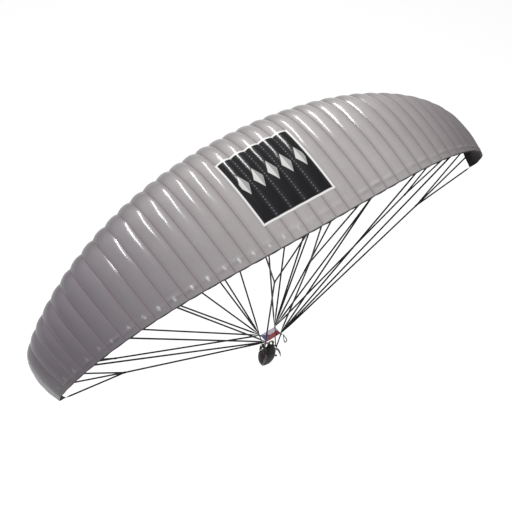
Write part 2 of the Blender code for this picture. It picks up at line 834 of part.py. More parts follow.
def path_strip(name, path, across, width, where, finish, narrow_end=1.0):
    """A strap along a path, as wide all along unless it narrows to its end."""
    edges = []
    for i, spot in enumerate(path):
        share = i / (len(path) - 1)
        half = across * width / 2 * (1 - (1 - narrow_end) * share**2)
        edges.append((spot - half, spot + half))
    return strip(name, edges, where, finish)


def outward(point):
    return (point - Vector(POD_CENTRE)).normalized()


def lift_strap(side, hand, holder, where, helpers):
    """The strap from the karabiner to the back corner of the harness, down it and under it."""
    column = POD_AROUND * (0.75 + side * 0.125) - 0.5
    edges = []
    for level in (5, 4, 3, 2, 1):
        near = pod_point(column, level)
        far = pod_point(column + 1, level)
        off = outward(near.lerp(far, 0.5)) * STRAP_OFF
        edges.append((near.lerp(far, STRAP_MARGIN) + off, far.lerp(near, STRAP_MARGIN) + off))
    bar = holder.matrix_world.inverted() @ clip_foot(side)
    corner = edges[0][0].lerp(edges[0][1], 0.5)
    bend = bar.lerp(corner, 0.5) + Vector((side * STRAP_BOW, 0, 0))
    start = bar.lerp(bend, 0.5)
    half = Vector((0, side * WEB_WIDTH / 2, 0))
    turned = (half + (edges[0][1] - corner)) / 2
    edges[:0] = [(start - half, start + half), (bend - turned, bend + turned)]
    made = hang(strip("lift_strap_" + hand, edges, where, "pink_grey_webbing", -1.0), holder)
    low = holder.matrix_world @ bar.lerp(bend, 0.7)
    loop = webbing("clip_loop_" + hand, clip_foot(side), low, (CLIP_ROD, 0), WEB_WIDTH * 0.96, helpers)
    join_solid(made, loop)
    return made


def harness(where, helpers):
    holder = bpy.data.objects.new("harness_hang_point", None)
    where.objects.link(holder)
    holder.location = rigging_point(CLIP_SHIFT, CLIP_Y, CLIP_Z)
    holder.rotation_euler = (0, HARNESS_ROLL, 0)
    bpy.context.view_layer.update()

    body = hang(pod("harness_body", where), holder)
    body.data.materials.append(material("harness_cloth"))
    join_solid(body, hang(pod("hollow", helpers, POD_WALL, SEAT_HEIGHT), holder), "DIFFERENCE")
    opening = hang(block("opening", (-0.5, 0, 0), (0.5, 0.5, 0.9), helpers), holder)
    opening.location = (0, *OPENING_FOOT)
    opening.rotation_euler = (OPENING_LEAN, 0, 0)
    join_solid(body, opening, "DIFFERENCE")

    x, y, _ = POD_CENTRE
    board = hang(block("seat_board", *(
        [sign * size / 2 + shift for sign, size, shift in zip((way, way, way), BOARD, (x, y, 0))]
        for way in (-1, 1)
    ), where), holder)
    board.location.z = SEAT_HEIGHT + BOARD[2] / 2 + TOUCH
    board.data.materials.append(material("seat_board"))
    round_corners = board.modifiers.new("corners", "BEVEL")
    round_corners.width = BOARD_CORNER
    round_corners.segments = 2
    round_corners.affect = "EDGES"
    round_corners.limit_method = "WEIGHT"
    weights = board.data.attributes.new("bevel_weight_edge", "FLOAT", "EDGE")
    for edge, weight in zip(board.data.edges, weights.data):
        first, second = (board.data.vertices[i].co for i in edge.vertices)
        weight.value = 1.0 if abs(first.z - second.z) > BOARD[2] / 2 else 0.0

    for side, hand in ((-1, "left"), (1, "right")):
        lift_strap(side, hand, holder, where, helpers)
    front_straps(holder, where)
    reserve_handle(holder, where, helpers)
    tail(where)


def front_straps(holder, where):
    """The shoulder straps, the strap that joins them in front, and the leg straps."""
    x = POD_CENTRE[0]
    above, below = (Vector(SHOULDER_PATH[int(CHEST_AT + half)]) for half in (-0.5, 0.5))
    along = Vector((0, below.y - above.y, below.z - above.z)).normalized()
    off = Vector((1, 0, 0)).cross(along) * -(STRAP / 2 + CHEST_SEAT)
    spot = above.lerp(below, 0.5) + off
    chest = [Vector((x + spot.x * 1.35 * share, spot.y, spot.z)) for share in (-1, -0.5, 0.5, 1)]
    hang(path_strip("chest_strap", chest, along, STRAP_WIDTH * 0.6, where, "black_webbing"), holder)
    for side, hand in ((-1, "left"), (1, "right")):
        edges = []
        for level in (7.0, 7.7):
            pair = [facet_point(POD_BACK + side * (column - POD_BACK), level) for column in SHOULDER_ROOT]
            edges.append([point + outward(point) * ROOT_OFF for point in pair])
        half = Vector((side * STRAP_WIDTH / 2, 0, 0))
        for a, b, c in SHOULDER_PATH:
            edges.append([Vector((x + side * a, b, c)) - half, Vector((x + side * a, b, c)) + half])
        hang(strip("shoulder_strap_" + hand, edges, where, "handle_webbing", side), holder)
        leg = [Vector((x + side * a, b, c)) for a, b, c in LEG_PATH]
        hang(path_strip("leg_strap_" + hand, leg, Vector((1, 0, 0)), STRAP_WIDTH * 0.7, where,
                        "black_webbing"), holder)


def reserve_handle(holder, where, helpers):
    """A short stub with a round knob, at the right back of the harness."""
    root = facet_point(*STUB_ROOT)
    way = outward(root)
    stub = as_mesh(tube("reserve_handle", [root + way * STUB_OFF, root + way * STUB_LENGTH], [STUB_RADIUS, STUB_RADIUS], where), where)
    hang(stub, holder)
    stub.data.materials.append(material("black_plastic"))
    bpy.ops.mesh.primitive_uv_sphere_add(segments=10, ring_count=8, radius=KNOB_RADIUS, location=root + way * KNOB_AT)
    knob = bpy.context.object
    knob.name = "knob"
    for owner in list(knob.users_collection):
        owner.objects.unlink(knob)
    helpers.objects.link(knob)
    hang(knob, holder)
    join_solid(stub, knob)


def tail(where):
    """A loose strap end that hangs in a curve from the right lift strap's eye."""
    reach = (CLIP_ROD + EYE_CLEARANCE + WEB) * 0.94 + STRAP / 2 + TOUCH
    eye = clip_foot(1) + Vector((reach, 0, 0))
    path = [eye + Vector((out, 0.0, drop)) for out, drop in TAIL_PATH]
    path_strip("webbing_tail_right", path, Vector((0, 1, 0)), TAIL_WIDTH, where, "pink_grey_webbing", 0.25)


def build():
    clear_scene()
    where = collection("paraglider")
    helpers = collection("cutters_and_joins", helper=True)
    canopy(where, helpers)
    lines(where, helpers)
    risers(where)
    karabiners(where)
    flag(where)
    for side, hand in ((-1, "left"), (1, "right")):
        brake_handle(side, hand, where, helpers)
    harness(where, helpers)


CROWN = crown_point()
build()
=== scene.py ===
"""A paraglider in flight, dressed over its solids: canopy, lines, risers, flag, brake handles and harness."""
import math

import bmesh
import bpy
from mathutils import Matrix, Vector, noise


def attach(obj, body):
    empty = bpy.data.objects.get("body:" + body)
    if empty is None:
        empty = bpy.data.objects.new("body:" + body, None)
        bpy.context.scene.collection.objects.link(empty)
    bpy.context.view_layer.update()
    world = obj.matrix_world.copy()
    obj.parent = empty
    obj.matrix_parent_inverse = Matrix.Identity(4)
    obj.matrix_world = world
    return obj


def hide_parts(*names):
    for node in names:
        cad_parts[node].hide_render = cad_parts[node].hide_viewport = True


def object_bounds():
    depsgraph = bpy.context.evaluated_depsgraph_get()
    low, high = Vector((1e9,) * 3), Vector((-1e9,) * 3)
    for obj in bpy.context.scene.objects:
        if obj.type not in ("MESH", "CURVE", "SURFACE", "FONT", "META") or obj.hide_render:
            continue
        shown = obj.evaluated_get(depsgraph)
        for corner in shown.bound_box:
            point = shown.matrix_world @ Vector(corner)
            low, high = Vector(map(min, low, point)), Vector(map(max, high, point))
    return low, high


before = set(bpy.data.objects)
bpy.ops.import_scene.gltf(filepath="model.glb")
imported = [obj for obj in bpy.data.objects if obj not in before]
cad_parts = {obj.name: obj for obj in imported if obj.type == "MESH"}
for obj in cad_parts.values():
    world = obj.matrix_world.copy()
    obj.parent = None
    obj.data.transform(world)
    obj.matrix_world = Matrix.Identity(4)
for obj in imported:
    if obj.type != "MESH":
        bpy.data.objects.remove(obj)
cad_low, cad_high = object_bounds()

SIDES = ((-1, "left"), (1, "right"))
RIGHTWARD = Vector((1, 0, 0))
FORWARD = Vector((0, 1, 0))
UPWARD = Vector((0, 0, 1))

# Canopy plan and arch. t runs from -1 at the left tip to 1 at the right tip.
HALF_SPAN = 5.4
CELLS = 37
SPAN_CUBIC = 0.078
SPAN_QUINTIC = -0.208
SPAN_LINEAR = 1 - SPAN_CUBIC - SPAN_QUINTIC
ARCH_DROP = (-0.82, -1.97, 0.817)
TIP_SWEEP = (0.80, 0.02)
CHORD = (2.985, -2.174, 0.154, 0.304)
TIP_TOE_IN = math.radians(2.4)

# Section. Heights are shares of the chord; u runs from 0 at the nose to 1 at the trailing edge.
UPPER_DEPTH = 0.218
LOWER_DEPTH = 0.15
CAMBER = 0.04
CAMBER_AT = 0.3
TRAILING_HALF = 0.003
NOSE_BILLOW = 0.13
TAIL_BILLOW = 0.02
LOWER_BILLOW = 0.05
MIDDLE_BILLOW = 0.04
MIDDLE_BILLOW_END = 0.9
BULGE_WIDTH = 1.12
BULGE_FADE = 0.45
CELL_BULGE = 2 * HALF_SPAN / CELLS * BULGE_WIDTH
LIP = 0.004
MOUTH = 0.06
CLOSED_CELLS = 3
CLOTH = 0.0012

# The cell's end pillow near the trailing edge, and the cloth's uneven pull across it.
PILLOW = 0.055
PILLOW_AT = 0.935
PILLOW_REACH = 0.016
RIPPLE = 0.0045
CELL_STEPS = 12
UPPER_ROWS = 50
TAIL_ROWS = 26
TAIL_FROM = 0.87
LOWER_ROWS = 34
RIB_SHARES = (30, 0.004, 0.975)
END_RIB_IN = 0.0013

# Looks of the canopy: its seams, small painted glints near the trailing edge, and a dark panel with a row of lozenges.
CELL_WIDTH = 0.31
# Painted glints: pale spots that stand for light caught by small pleats near the trailing edge.
GLINT_AT = 0.15
GLINT_REACH = 0.045
PANEL_MIDDLE = 18.5
PANEL_SHARE = 0.55
PANEL_HALF = (0.80, 0.78)
PANEL_METRES = (0.327, 2.985)
PANEL_BORDER = 0.042
LOZENGE_ROW = 0.52
LOZENGE_HALF = (0.33, 0.085)
LOZENGE_TONES = ((0.48, 0.48, 0.47), (0.27, 0.27, 0.27))
PANEL_BLACK = (0.0058, 0.0055, 0.0068)
PANEL_SEAM = (0.028, 0.026, 0.030)
PANEL_STITCH = (0.26, 0.25, 0.26)
PANEL_PALE = (0.62, 0.62, 0.61)
# Painted shade: the right cells darken towards the tip to these shares of the cloth's tone.
RIGHT_PAINTED_SHADE = (0.40, 0.37, 0.395)
# Painted shade in the valleys beside each seam.
SEAM_PAINTED_SHADE = (0.17, 0.130, 0.150)
SEAM_THREAD = (0.10, 0.068, 0.082)
STITCHES_A_METRE = 14.0
GATHERS_A_METRE = 30.0
# Colour of the painted glints near the trailing edge.
PAINTED_GLINT = (0.85, 0.84, 0.84)
EDGE_SHADE = (0.06, 0.05, 0.058)

# Each wing tip's hanging fin: its chord stations, their shares of its full drop, and its turned-in lip.
FIN_DROPS = ((1.0, 0.68), (0.78, 0.78), (0.56, 0.70), (0.36, 0.37), (0.2, 0.06))
FIN_REACH = (0.02, 0.18, -0.46)
FIN_LIP = (-0.164, 0.04, -0.057)
FIN_PROFILE = ((0.0, 0.0), (0.5, 0.0), (0.9, 0.06), (1.0, 0.4), (1.0, 1.0))
FIN_OFF = 0.0009
FIN_LENGTH = 1.1
TIP_CHORD = 1.27
FIN_STEPS = (44, 20)
TAPE_HALF = 0.006
TAPE_SIDES = 12

# Rigging, measured from the middle of the trailing edge.
RISER_X = 0.2115
FRONT_Y = 1.528
REAR_Y = 1.292
RISER_TOP = -4.992
LINE_RADIUS = 0.0183
BRANCH_RADIUS = 0.0163
END_RADIUS = 0.0025
END_GAP = 0.0015
LINE_START = ((0.0, 0.0022), (0.1, 0.009), (0.32, LINE_RADIUS))
KNOT_SWELL = ((-0.042, 0.0175), (-0.029, 0.020), (-0.010, 0.0228), (0.010, 0.0228), (0.029, 0.0175), (0.041, 0.008))
TAB_SIZE = (0.016, 0.03, 0.0022)
LINK_PITCH = 0.006
LINK_ROD = 0.004
LINK_HALF_WIDTH = 0.031
LINK_HEIGHT = 0.052
FORK_AT = 0.84
FRONT_LINES = {
    "a1": ((1.5, 0.08), (2.5, 0.08)),
    "a2": ((4.5, 0.08), (5.5, 0.08)),
    "b1": ((5.5, 0.34), (6.5, 0.34)),
    "a3": ((8.5, 0.08), (9.5, 0.08)),
    "a4": ((11.5, 0.08), (12.5, 0.08)),
    "a5": ((15.5, 0.08), (16.5, 0.08)),
    "a6": ((18.5, 0.30), (17.5, 0.58)),
}
REAR_LINES = {
    "brake": ((0.5, 0.985), (3.5, 0.985)),
    "c1": ((10.5, 0.60),),
    "c2": ((14.5, 0.60),),
    "c3": ((17.5, 0.62),),
    "c4": ((17.5, 0.70), (18.5, 0.78), (18.5, None)),
}
KNOTS = {"a6": (3.85, 1.52, -2.83), "c4": (3.87, 1.14, -2.87), "brake": (0.458, 0.689, -2.0)}

# Risers, karabiners and harness. The harness hangs rolled to one side under its karabiners.
WEB_WIDTH = 0.025
WEB = 0.011
RISER_WIDTH = 0.031
EYE_CLEARANCE = 0.001
RISER_STEP = 0.0168
CLIP_X = 0.18
CLIP_SHIFT = -0.012
CLIP_Y = 1.41
CLIP_Z = -5.50
CLIP_TILT = 0.12
CLIP_ROD = 0.0055
CLIP_HALF_WIDTH = 0.046
CLIP_HEIGHT = 0.09
HARNESS_ROLL = math.radians(16)
RING_CORNER = 0.3
RING_STEPS = 7
NUT_SIDES = 6
LINK_NUT = (0.42, 0.0062)
CLIP_SLEEVE = (0.5, 0.0082)
WEAVE_LONG = 0.0032
WEAVE_WIDE = 0.0026
THREAD_PITCH = 0.006
THREAD_AT = 0.72
PLY = 0.0025
STITCH_PITCH = 0.0042
STITCH_LENGTH = 0.68
STITCH_RADIUS = 0.0007
SEWN_FROM = 0.019
SEWN_STEP = 0.0032
SEWN_COUNT = 15
SEWN_HALF = WEB_WIDTH / 2 * 0.82

# The harness's rounded body, measured from the middle between the karabiners.
POD_HALF = (0.185, 0.165, 0.36)
POD_X = -0.03
POD_CENTRE = Vector((POD_X, 0.0, -0.21))
POD_BOXINESS = 0.72
POD_TAPER = (0.25, 0.30)
POD_AROUND = 20
POD_LEVELS = 9
POD_WALL = 0.025
POD_BACK = 15
BODY_GRID = (72, 40)
HOLLOW_GRID = (60, 34)
SEAT_HEIGHT = -0.41
OPENING_FOOT = (0.14, -0.27)
OPENING_LEAN = math.radians(24)
RIM_ANGLE = math.radians(48)
OUTSIDE_SHARE = 0.86
BACK_FROM = -0.085
BACK_HALF = 0.125
LOW_BACK_TOP = -0.16
SEAM_COLUMNS = (10.6, 19.4)
SEAM_LEVELS = (2.6, 5.3)
BINDING_RADIUS = 0.0038
CORDING_RADIUS = 0.0028
STRAP = 0.003
STRAP_BOW = 0.03
STRAP_WIDTH = 0.045
STRAP_ACROSS = 4
STRAP_STEPS = 6
SHOULDER_ROOT = (15.3, 16.1)
SHOULDER_WIDTH = 0.064
SHOULDER_PAD = 0.014
SHOULDER_PATH = ((0.055, -0.035, 0.16), (0.07, 0.03, 0.155), (0.09, 0.09, 0.08), (0.10, 0.12, -0.03),
                 (0.115, 0.125, -0.15))
CHEST_AT = 2
LEG_PATH = ((0.03, 0.135, 0.0), (0.04, 0.19, -0.06), (0.05, 0.21, -0.14), (0.06, 0.185, -0.22),
            (0.065, 0.1543, -0.275), (0.065, 0.1548, -0.31))
STUB_ROOT = (18.6, 4.3)
STUB_PROFILE = ((0.002, 0.0125), (0.006, 0.013), (0.009, 0.010), (0.034, 0.010))
KNOB_RADIUS = 0.026
KNOB_AT = 0.06
TAIL_WIDTH = 0.062
TAIL_TWIST = math.radians(84)
TAIL_PATH = ((0.0, 0.0), (0.06, -0.09), (0.105, -0.20), (0.137, -0.33), (0.148, -0.45))

FLAG_LENGTH = 0.4134
FLAG_DEPTH = 0.235
FLAG_SAG = 0.012
FLAG_RIPPLE = 0.004
FLAG_BELOW = 0.012
FLAG_STEPS = (60, 34)
HANDLE_TOP = (0.265, -0.03, -0.085)
HANDLE_LEAN = (0.12, -0.23, -1.0)
HANDLE_OUT = 0.12
HANDLE_LOOP = ((0.0, 0.0), (0.014, -0.065), (0.036, -0.155), (0.042, -0.205), (0.024, -0.24), (-0.018, -0.247),
               (-0.03, -0.21), (-0.024, -0.145), (-0.012, -0.065))
HANDLE_ROD = 0.0115
HANDLE_STEM = (0.12, 0.82)
CORD_RADII = (0.003, 0.003, 0.0035)
WRAP_RADII = (0.004, 0.0085, 0.0092, 0.0085, 0.005)

# The view: where the camera stands, its bearing and height angle, its lens, and the floor far below.
CAMERA_PLACE = (-9.530, -13.316, 16.532)
CAMERA_BEARING = math.radians(-35.83)
CAMERA_CLIMB = math.radians(50.51)
CAMERA_LENS = 83.06
FLOOR_BELOW = 34.0
FLOOR_SIZE = 900
FLOOR_TONE = (0.81, 0.81, 0.81)

# Light: the sky's strength on the object and as seen, and each lamp's bearing and height angle in degrees.
SKY = 0.24
SKY_SEEN = 0.8
KEY = {"bearing": 277.0, "climb": 66.0, "energy": 2.6}
KEY_SPREAD = math.radians(14.0)
STRIP = {"bearing": 24.0, "climb": 47.0, "energy": 30000.0}
STRIP_AWAY = 60.0
STRIP_SIZE = (4.0, 42.0)


# Node trees

class Value:
    """What a node's socket gives, worked with as a number."""

    def __init__(self, graph, socket):
        self.graph = graph
        self.socket = socket

    def __add__(self, other):
        return self.graph.math("ADD", self, other)

    def __sub__(self, other):
        return self.graph.math("SUBTRACT", self, other)

    def __rsub__(self, other):
        return self.graph.math("SUBTRACT", other, self)

    def __mul__(self, other):
        return self.graph.math("MULTIPLY", self, other)

    def __truediv__(self, other):
        return self.graph.math("DIVIDE", self, other)

    def __abs__(self):
        return self.graph.math("ABSOLUTE", self)


class Graph:
    """Adds the nodes of one tree and joins their sockets."""

    def __init__(self, tree):
        self.tree = tree

    def feed(self, socket, value):
        if isinstance(value, Value):
            self.tree.links.new(value.socket, socket)
        else:
            socket.default_value = value

    def feed_all(self, sockets, values):
        for key, value in values.items():
            self.feed(sockets[key], value)

    def add(self, kind, values, settings):
        made = self.tree.nodes.new(kind)
        for key, value in settings.items():
            setattr(made, key, value)
        self.feed_all(made.inputs, values)
        return made

    def all(self, kind, values=(), **settings):
        """Everything that a new node gives, by name."""
        made = self.add(kind, dict(values), settings)
        return {socket.name: Value(self, socket) for socket in made.outputs}

    def get(self, kind, values=(), output=0, **settings):
        """One thing that a new node gives."""
        return Value(self, self.add(kind, dict(values), settings).outputs[output])

    def math(self, operation, *values):
        return self.get("ShaderNodeMath", enumerate(values), operation=operation)

    def sine(self, value):
        return self.math("SINE", value)

    def fract(self, value):
        return self.math("FRACT", value)

    def mix(self, share, first, second):
        first, second = ((*tone, 1) if isinstance(tone, tuple) else tone for tone in (first, second))
        return self.get("ShaderNodeMix", {0: share, 6: first, 7: second}, 2, data_type="RGBA", blend_type="MIX")

    def layers(self, colour, *over):
        """A colour with others laid over it, each given with its share."""
        for share, tone in over:
            colour = self.mix(share, colour, tone)
        return colour

    def fade(self, value, low, high, start=0.0, end=1.0):
        return self.get("ShaderNodeMapRange", {0: value, 1: low, 2: high, 3: start, 4: end},
                        interpolation_type="SMOOTHSTEP")

    def within(self, value, low, high):
        return self.fade(value, low, high, 1.0, 0.0)

    def noise(self, vector, scale, detail=3.0, rough=0.5):
        values = {"Vector": vector, "Scale": scale, "Detail": detail, "Roughness": rough}
        return self.get("ShaderNodeTexNoise", values, "Fac")

    def parts(self, vector):
        return tuple(self.all("ShaderNodeSeparateXYZ", {0: vector}).values())

    def join(self, *values):
        return self.get("ShaderNodeCombineXYZ", enumerate(values))

    def scaled(self, vector, factors):
        return self.get("ShaderNodeVectorMath", {0: vector, 1: factors}, operation="MULTIPLY")

    def attribute(self, name, output="Fac"):
        return self.get("ShaderNodeAttribute", (), output, attribute_name=name)

    def object_place(self):
        return self.get("ShaderNodeTexCoord", (), "Object")

    def cloth_place(self):
        return self.get("ShaderNodeUVMap", uv_map="cloth")

    def bump(self, height, distance, strength, under=None):
        values = {"Height": height, "Distance": distance, "Strength": strength}
        if under:
            values["Normal"] = under
        return self.get("ShaderNodeBump", values)

    def use(self, effect, **values):
        """One of the shared effects, placed in a material."""
        if effect not in GROUPS:
            GROUPS[effect] = shader_group(effect, values)
        return self.all("ShaderNodeGroup", values, node_tree=GROUPS[effect])

    def stain(self, place, scale):
        return self.use(cloudy_wear, Place=place, Scale=scale)


GROUPS = {}


def shader_group(effect, inputs):
    """A shader group with named sockets that works out one effect."""
    tree = bpy.data.node_groups.new(effect.__name__, "ShaderNodeTree")
    for label in inputs:
        kind = "NodeSocketVector" if label == "Place" else "NodeSocketFloat"
        tree.interface.new_socket(label, in_out="INPUT", socket_type=kind)
    graph = Graph(tree)
    found = effect(graph, graph.all("NodeGroupInput"))
    for label in found:
        tree.interface.new_socket(label, in_out="OUTPUT", socket_type="NodeSocketFloat")
    graph.add("NodeGroupOutput", found, {})
    return tree


def woven_threads(graph, given):
    """Threads over and under one another, as a height from 0 to 1."""
    x, y, _ = graph.parts(given["Place"])
    warp, weft = (graph.sine(way / given["Pitch"] * math.pi) for way in (x, y))
    over = graph.math("GREATER_THAN", warp * weft, 0.0)
    return {"Height": over * abs(warp) + (1.0 - over) * abs(weft)}


def ripstop_grid(graph, given):
    """A square grid of thicker threads over a plain cloth, as a mask."""
    x, y, _ = graph.parts(given["Place"])
    found = [graph.fade(abs(graph.fract(way / given["Pitch"]) - 0.5), 0.38, 0.46) for way in (x, y)]
    return {"Mask": graph.math("MAXIMUM", *found)}


def cloudy_wear(graph, given):
    """Broad and small cloudy differences, each from 0 to 1."""
    broad = graph.noise(given["Place"], given["Scale"], 2.0)
    fine = graph.noise(given["Place"], given["Scale"] * 9.0, 5.0)
    return {"Broad": graph.fade(broad, 0.3, 0.7), "Fine": graph.fade(fine, 0.25, 0.75)}


def sewn_seam(graph, given):
    """Across a sewn seam between cells: how near it is, its thread, its small gathers and its stitches."""
    cell = given["Cell"]
    _, along, _ = graph.parts(given["Place"])
    turn = graph.fract(cell)
    apart = graph.math("MINIMUM", turn, 1.0 - turn) * given["Width"]
    ticks = along * STITCHES_A_METRE
    dash = graph.noise(graph.join(graph.math("FLOOR", cell), ticks), 1.0, 2.0)
    pull = graph.noise(graph.join(apart * 5.0, along * GATHERS_A_METRE, graph.math("ROUND", cell) * 7.3), 1.0, 2.0, 0.6)
    stitch = graph.within(apart, 0.007, 0.013) * graph.within(graph.fract(ticks), 0.42, 0.5)
    return {
        "Near": graph.within(apart, 0.0, 0.085),
        "Thread": graph.within(apart, 0.004, 0.010) * graph.fade(dash, 0.3, 0.6, 0.45, 1.0),
        "Gather": graph.within(apart, 0.004, 0.075) * pull,
        "Stitch": stitch * graph.fade(dash, 0.38, 0.55, 0.15, 1.0),
    }


# Materials. Each function gives what its shader's sockets take.

def shade(tone, factor):
    return tuple(part * factor for part in tone)


def sail_cloth(graph, tone, tip_painted_shade, with_panel_and_glints):
    """Coated nylon in sewn cells, with thread along each seam and a dark taped edge, and painted shade towards the
    tips, the nose and beside each seam.
    """
    place = graph.cloth_place()
    cell, share = graph.attribute("cell"), graph.attribute("share")
    stain = graph.stain(place, 1.1)
    seam = graph.use(sewn_seam, Cell=cell, Place=place, Width=CELL_WIDTH)
    colour = graph.layers(
        tone,
        (stain["Broad"] * 0.5, shade(tone, 0.86)),
        (stain["Fine"] * 0.25, shade(tone, 0.8)),
        # Painted shade: the cells darken towards the left tip.
        (graph.within(cell, 3.0, 19.0) * 0.88, tip_painted_shade),
        # Painted shade: the cells darken towards the right tip.
        (graph.fade(cell, 24.0, 36.0, 0.0, 0.95), tuple(c * part for c, part in zip(tone, RIGHT_PAINTED_SHADE))),
        # Painted shade in the valleys beside each seam.
        (seam["Near"] * 0.3, SEAM_PAINTED_SHADE),
        (seam["Thread"] * 0.65, SEAM_THREAD),
        # Painted shade: the cloth darkens towards the nose.
        (graph.fade(share, 0.0, 0.24, 0.5, 0.0), shade(tip_painted_shade, 0.35)),
    )
    if with_panel_and_glints:
        # Painted glints on the pleats near the trailing edge.
        colour = graph.mix(tail_painted_glints(graph, cell, place), colour, PAINTED_GLINT)
    colour = graph.mix(graph.fade(share, 0.992, 0.996) * 0.75, colour, EDGE_SHADE)
    if with_panel_and_glints:
        colour = panel_colour(graph, cell, share, colour, seam)
    grid = graph.use(ripstop_grid, Place=place, Pitch=0.006)
    crumple = graph.noise(graph.scaled(place, (8.0, 1.4, 1.0)), 1.0)
    pull = graph.bump(crumple, 0.010, 0.16, graph.bump(seam["Gather"], 0.010, 0.45))
    return {"Base Color": colour, "Roughness": stain["Fine"] * 0.10 + 0.42, "Specular IOR Level": 0.06,
            "Coat Weight": graph.fade(cell, 25.0, 33.0, 0.8, 0.0), "Coat Roughness": 0.19,
            "Normal": graph.bump(grid["Mask"], 0.0002, 0.3, pull)}


def tail_painted_glints(graph, cell, place):
    """Small pale painted glints on pleats, one to a cell, a hand's breadth or two from the trailing edge."""
    _, from_tail, _ = graph.parts(place)
    sway = graph.noise(graph.join(graph.math("FLOOR", cell), 0.5), 3.7, 0.0)
    across = (graph.fract(cell) - (sway * 0.5 + 0.3)) * CELL_WIDTH
    behind = from_tail - (sway * 0.06 + GLINT_AT)
    apart = graph.math("SQRT", across * across + behind * behind * 0.3)
    broken = graph.noise(graph.scaled(place, (60.0, 12.0, 1.0)), 1.0, 2.0)
    spot = graph.within(apart, 0.008, GLINT_REACH) * graph.fade(broken, 0.35, 0.6)
    return spot * graph.fade(cell, 14.0, 21.0, 0.55, 0.0) * graph.fade(cell, 4.0, 11.0, 0.2, 1.0)


def panel_colour(graph, cell, share, colour, seam):
    """A plain dark panel with a pale border, and one pale lozenge in each of its cells."""
    across = abs((cell - PANEL_MIDDLE) * PANEL_METRES[0])
    along = abs((share - PANEL_SHARE) * PANEL_METRES[1])
    edge = graph.math("MAXIMUM", across - PANEL_HALF[0], along - PANEL_HALF[1])
    dark = graph.within(edge, 0.0, 0.006)
    black = graph.layers(PANEL_BLACK, (seam["Near"] * 0.55, PANEL_SEAM), (seam["Stitch"] * 0.6, PANEL_STITCH))
    turn = graph.fract(cell) - 0.5
    reach = abs(turn) * (1 / LOZENGE_HALF[0]) + abs(share - LOZENGE_ROW) * (1 / LOZENGE_HALF[1])
    pale = graph.mix(graph.fade(turn, -0.01, 0.01), *LOZENGE_TONES)
    inside = graph.within(reach, 0.94, 1.0) * dark * graph.within(edge, -0.07, -0.06)
    border = graph.within(edge, PANEL_BORDER, PANEL_BORDER + 0.006)
    return graph.layers(colour, (border, PANEL_PALE), (dark, black), (inside, pale))


def cord_braid(graph, tone):
    """Tight braid along a round cord."""
    around, along, _ = graph.parts(graph.attribute("braid", "Vector"))
    turns, climb = around * 4.0, along * 42.0
    braid = (graph.sine((turns + climb) * math.tau) * graph.sine((turns - climb) * math.tau) + 1.0) * 0.5
    stain = graph.stain(graph.object_place(), 2.0)
    colour = graph.layers(shade(tone, 0.6), (braid * 0.5, shade(tone, 1.5)), (stain["Fine"] * 0.4, shade(tone, 2.2)))
    return {"Base Color": colour, "Roughness": braid * 0.2 + 0.55, "Normal": graph.bump(braid, 0.0012, 0.8)}


def ribbed_webbing(graph, tone, second, thread):
    """Ribbed webbing: rows across it, a rolled edge and two rows of thread, read from the strap's own sizes."""
    across, along, width = graph.parts(graph.attribute("strap", "Vector"))
    rows = graph.sine(along * (math.tau / WEAVE_LONG))
    weave = (graph.sine(across * (math.tau / WEAVE_WIDE) + rows) + 1.0) * 0.5
    side = abs(across) / width
    stain = graph.stain(graph.object_place(), 6.0)
    dash = graph.fade(graph.sine(along * (math.tau / THREAD_PITCH)), -0.2, 0.1)
    sewn = graph.within(abs(side - THREAD_AT), 0.03, 0.06) * dash
    colour = graph.layers(
        tone, (stain["Broad"], second), (weave * 0.35, shade(tone, 0.5)),
        (graph.fade(side, 0.84, 0.97) * 0.6, shade(second, 0.4)), (sewn * 0.8, thread))
    high = graph.bump(weave, 0.0008, 0.6)
    return {"Base Color": colour, "Roughness": stain["Fine"] * 0.2 + 0.6,
            "Normal": graph.bump(sewn, 0.0008, 0.7, high), "Sheen Weight": 0.25}


def pack_cloth(graph, tone, second):
    """Coarse matt pack cloth with creases and rubbed places."""
    place = graph.object_place()
    x, y, z = graph.parts(place)
    weave = graph.use(woven_threads, Place=graph.join(x + y, z), Pitch=0.0016)["Height"]
    stain = graph.stain(place, 7.0)
    colour = graph.layers(tone, (stain["Broad"], second), (stain["Fine"] * 0.35, shade(tone, 1.5)),
                          (weave * 0.25, shade(tone, 0.5)))
    crease = graph.noise(graph.scaled(place, (14.0, 14.0, 30.0)), 1.0, 4.0, 0.6)
    high = graph.bump(crease, 0.006, 0.6)
    return {"Base Color": colour, "Roughness": stain["Fine"] * 0.15 + 0.62,
            "Normal": graph.bump(weave, 0.0006, 0.6, high), "Sheen Weight": 0.2}


def brushed_metal(graph, tone):
    place = graph.object_place()
    stain = graph.stain(place, 20.0)
    scratch = graph.noise(graph.scaled(place, (60.0, 60.0, 600.0)), 1.0, 2.0)
    return {"Base Color": graph.mix(stain["Broad"], tone, shade(tone, 0.7)), "Roughness": scratch * 0.25 + 0.18,
            "Normal": graph.bump(scratch, 0.0002, 0.4), "Metallic": 1.0}


def moulded_plastic(graph, tone):
    place = graph.object_place()
    stain = graph.stain(place, 30.0)
    grain = graph.noise(place, 900.0, 2.0)
    colour = graph.mix(stain["Fine"] * 0.5, tone, shade(tone, 2.0))
    return {"Base Color": colour, "Roughness": stain["Fine"] * 0.2 + 0.5, "Normal": graph.bump(grain, 0.0003, 0.4),
            "Specular IOR Level": 0.2}


